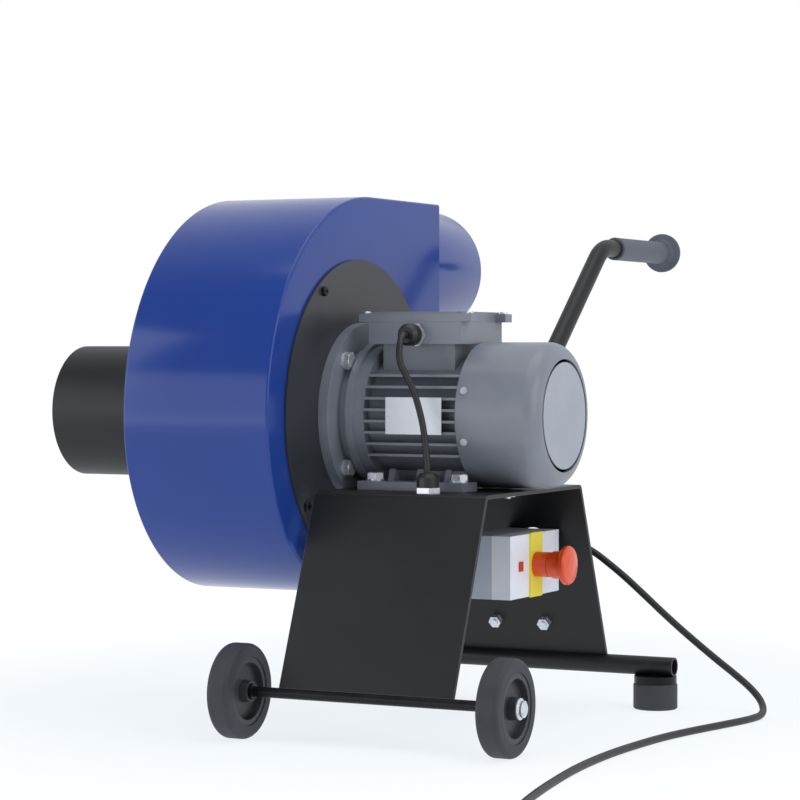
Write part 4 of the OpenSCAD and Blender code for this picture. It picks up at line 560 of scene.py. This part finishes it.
DUCT_R, DUCT_IN, DUCT_L, DUCT_EDGE, DUCT_X, DUCT_Z = 74.5, 72.5, 149, 0.7, -91.5, SHAFT_Z + 166.15
duct_wall = rounded([(0, DUCT_IN, 0), (DUCT_L, DUCT_IN, DUCT_EDGE), (DUCT_L, DUCT_R, DUCT_EDGE), (0, DUCT_R, 0)], 3)
outlet_tube = revolve("outlet_tube", duct_wall, (DUCT_X, REACH, DUCT_Z), (0, 1, 0), FINISHES["blue_paint"])
own(outlet_tube, "frame", "blue_paint", "outlet_spigot")


# Handle
# One bent steel tube with a textured powder coat: it lies against the stand's sloping panel, bends out at the
# knee, runs up at forty degrees and turns level for the grip. The moulded rubber grip has a flared end disc
# and shallow finger ribs.


def filleted(corners, radius, steps=16):
    """Line through corner points with each inner corner turned with an arc of the radius."""
    out = [Vector(corners[0])]
    for a, b, c in zip(corners, corners[1:], corners[2:]):
        a, b, c = Vector(a), Vector(b), Vector(c)
        back, on = (a - b).normalized(), (c - b).normalized()
        half = back.angle(on) / 2
        centre = b + (back + on).normalized() * radius / math.sin(half)
        start = b + back * radius / math.tan(half) - centre
        turn = b + on * radius / math.tan(half) - centre
        axis = start.cross(turn).normalized()
        swing = start.angle(turn)
        out += [centre + Matrix.Rotation(swing * k / steps, 3, axis) @ start for k in range(steps + 1)]
    return out + [Vector(corners[-1])]


HANDLE_X, HANDLE_D, HANDLE_BEND_R, GRIP_Y, GRIP_Z = 111.5, 21.3, 60, 475, 532
GRIP_R, GRIP_L, GRIP_STEPS = 14.2, 158, 85
RIB_DEPTH, RIB_PITCH, RIBS_FROM, RIBS_TO = 0.35, 6.5, 12, 142
handle_line = filleted([(HANDLE_X, 214.49, 67.22), (HANDLE_X, 130.65, 275.6), (HANDLE_X, 432.98, GRIP_Z),
                        (HANDLE_X, 639.0, GRIP_Z)], HANDLE_BEND_R)
handle_pipe = link_mesh("handle_pipe", tube_mesh("handle_pipe", handle_line, HANDLE_D / 2, 48),
                        FINISHES["black_paint"])
own(handle_pipe, "frame", "black_paint", "handle_tube")
grip_body = []
for i in range(GRIP_STEPS + 1):
    y = i * GRIP_L / GRIP_STEPS
    rib = RIB_DEPTH * (0.5 - 0.5 * math.cos(math.tau * y / RIB_PITCH)) if RIBS_FROM < y < RIBS_TO else 0
    grip_body.append((y, GRIP_R - rib))
grip_start = [(0, 10.75), (0, 13.2), (0.4, 13.9), (1.2, GRIP_R)]
grip_disc = [(161, 15.4), (163.2, 18.6), (164, 23.4), (164.6, 24.5), (166, 25), (168.4, 24.8), (169.6, 23.9),
             (170, 22.4), (169.2, 17), (169, 0), (164, 0), (164, 10.75)]
grip_moulding = revolve("grip_moulding", grip_start + grip_body[1:] + grip_disc, (HANDLE_X, GRIP_Y, GRIP_Z), (0, 1, 0),
                        FINISHES["grip_rubber"], steps=96, smooth=40)
own(grip_moulding, "frame", "grip_rubber", "handle_grip")


# Motor lead
# Short rubber lead from the terminal box's gland through the gland in the stand's top to the switch box under it.
LEAD_D = 7
LEAD = [
    (93, -48, 422.4), (93, -62, 422.4), (93, -76, 422.4), (93.5, -85, 420.5), (94.5, -92, 413), (95.5, -96, 403),
    (98, -98, 392), (104, -99, 381), (113, -100, 366), (120, -102, 350), (127, -105, 330), (132, -108, 308),
    (135, -110, 288), (136, -110, 272), (136, -110, 256), (136, -110, 242), (135, -109, 228), (131, -103, 214),
    (122, -90, 203), (108, -70, 194), (91, -44, 187), (74, -16, 182), (63, 10, 179), (64, 32, 178.3), (76, 43, 178.1),
    (90, 45, 178.1), (104, 45, 178.1), (119, 45, 178.1),
]
lead_line = spline([Vector(p) for p in LEAD], LINE_STEPS)
motor_lead = link_mesh("motor_lead", tube_mesh("motor_lead", lead_line, LEAD_D / 2, 20), sheath)
own(motor_lead, "frame", "black_rubber", "motor_cable")
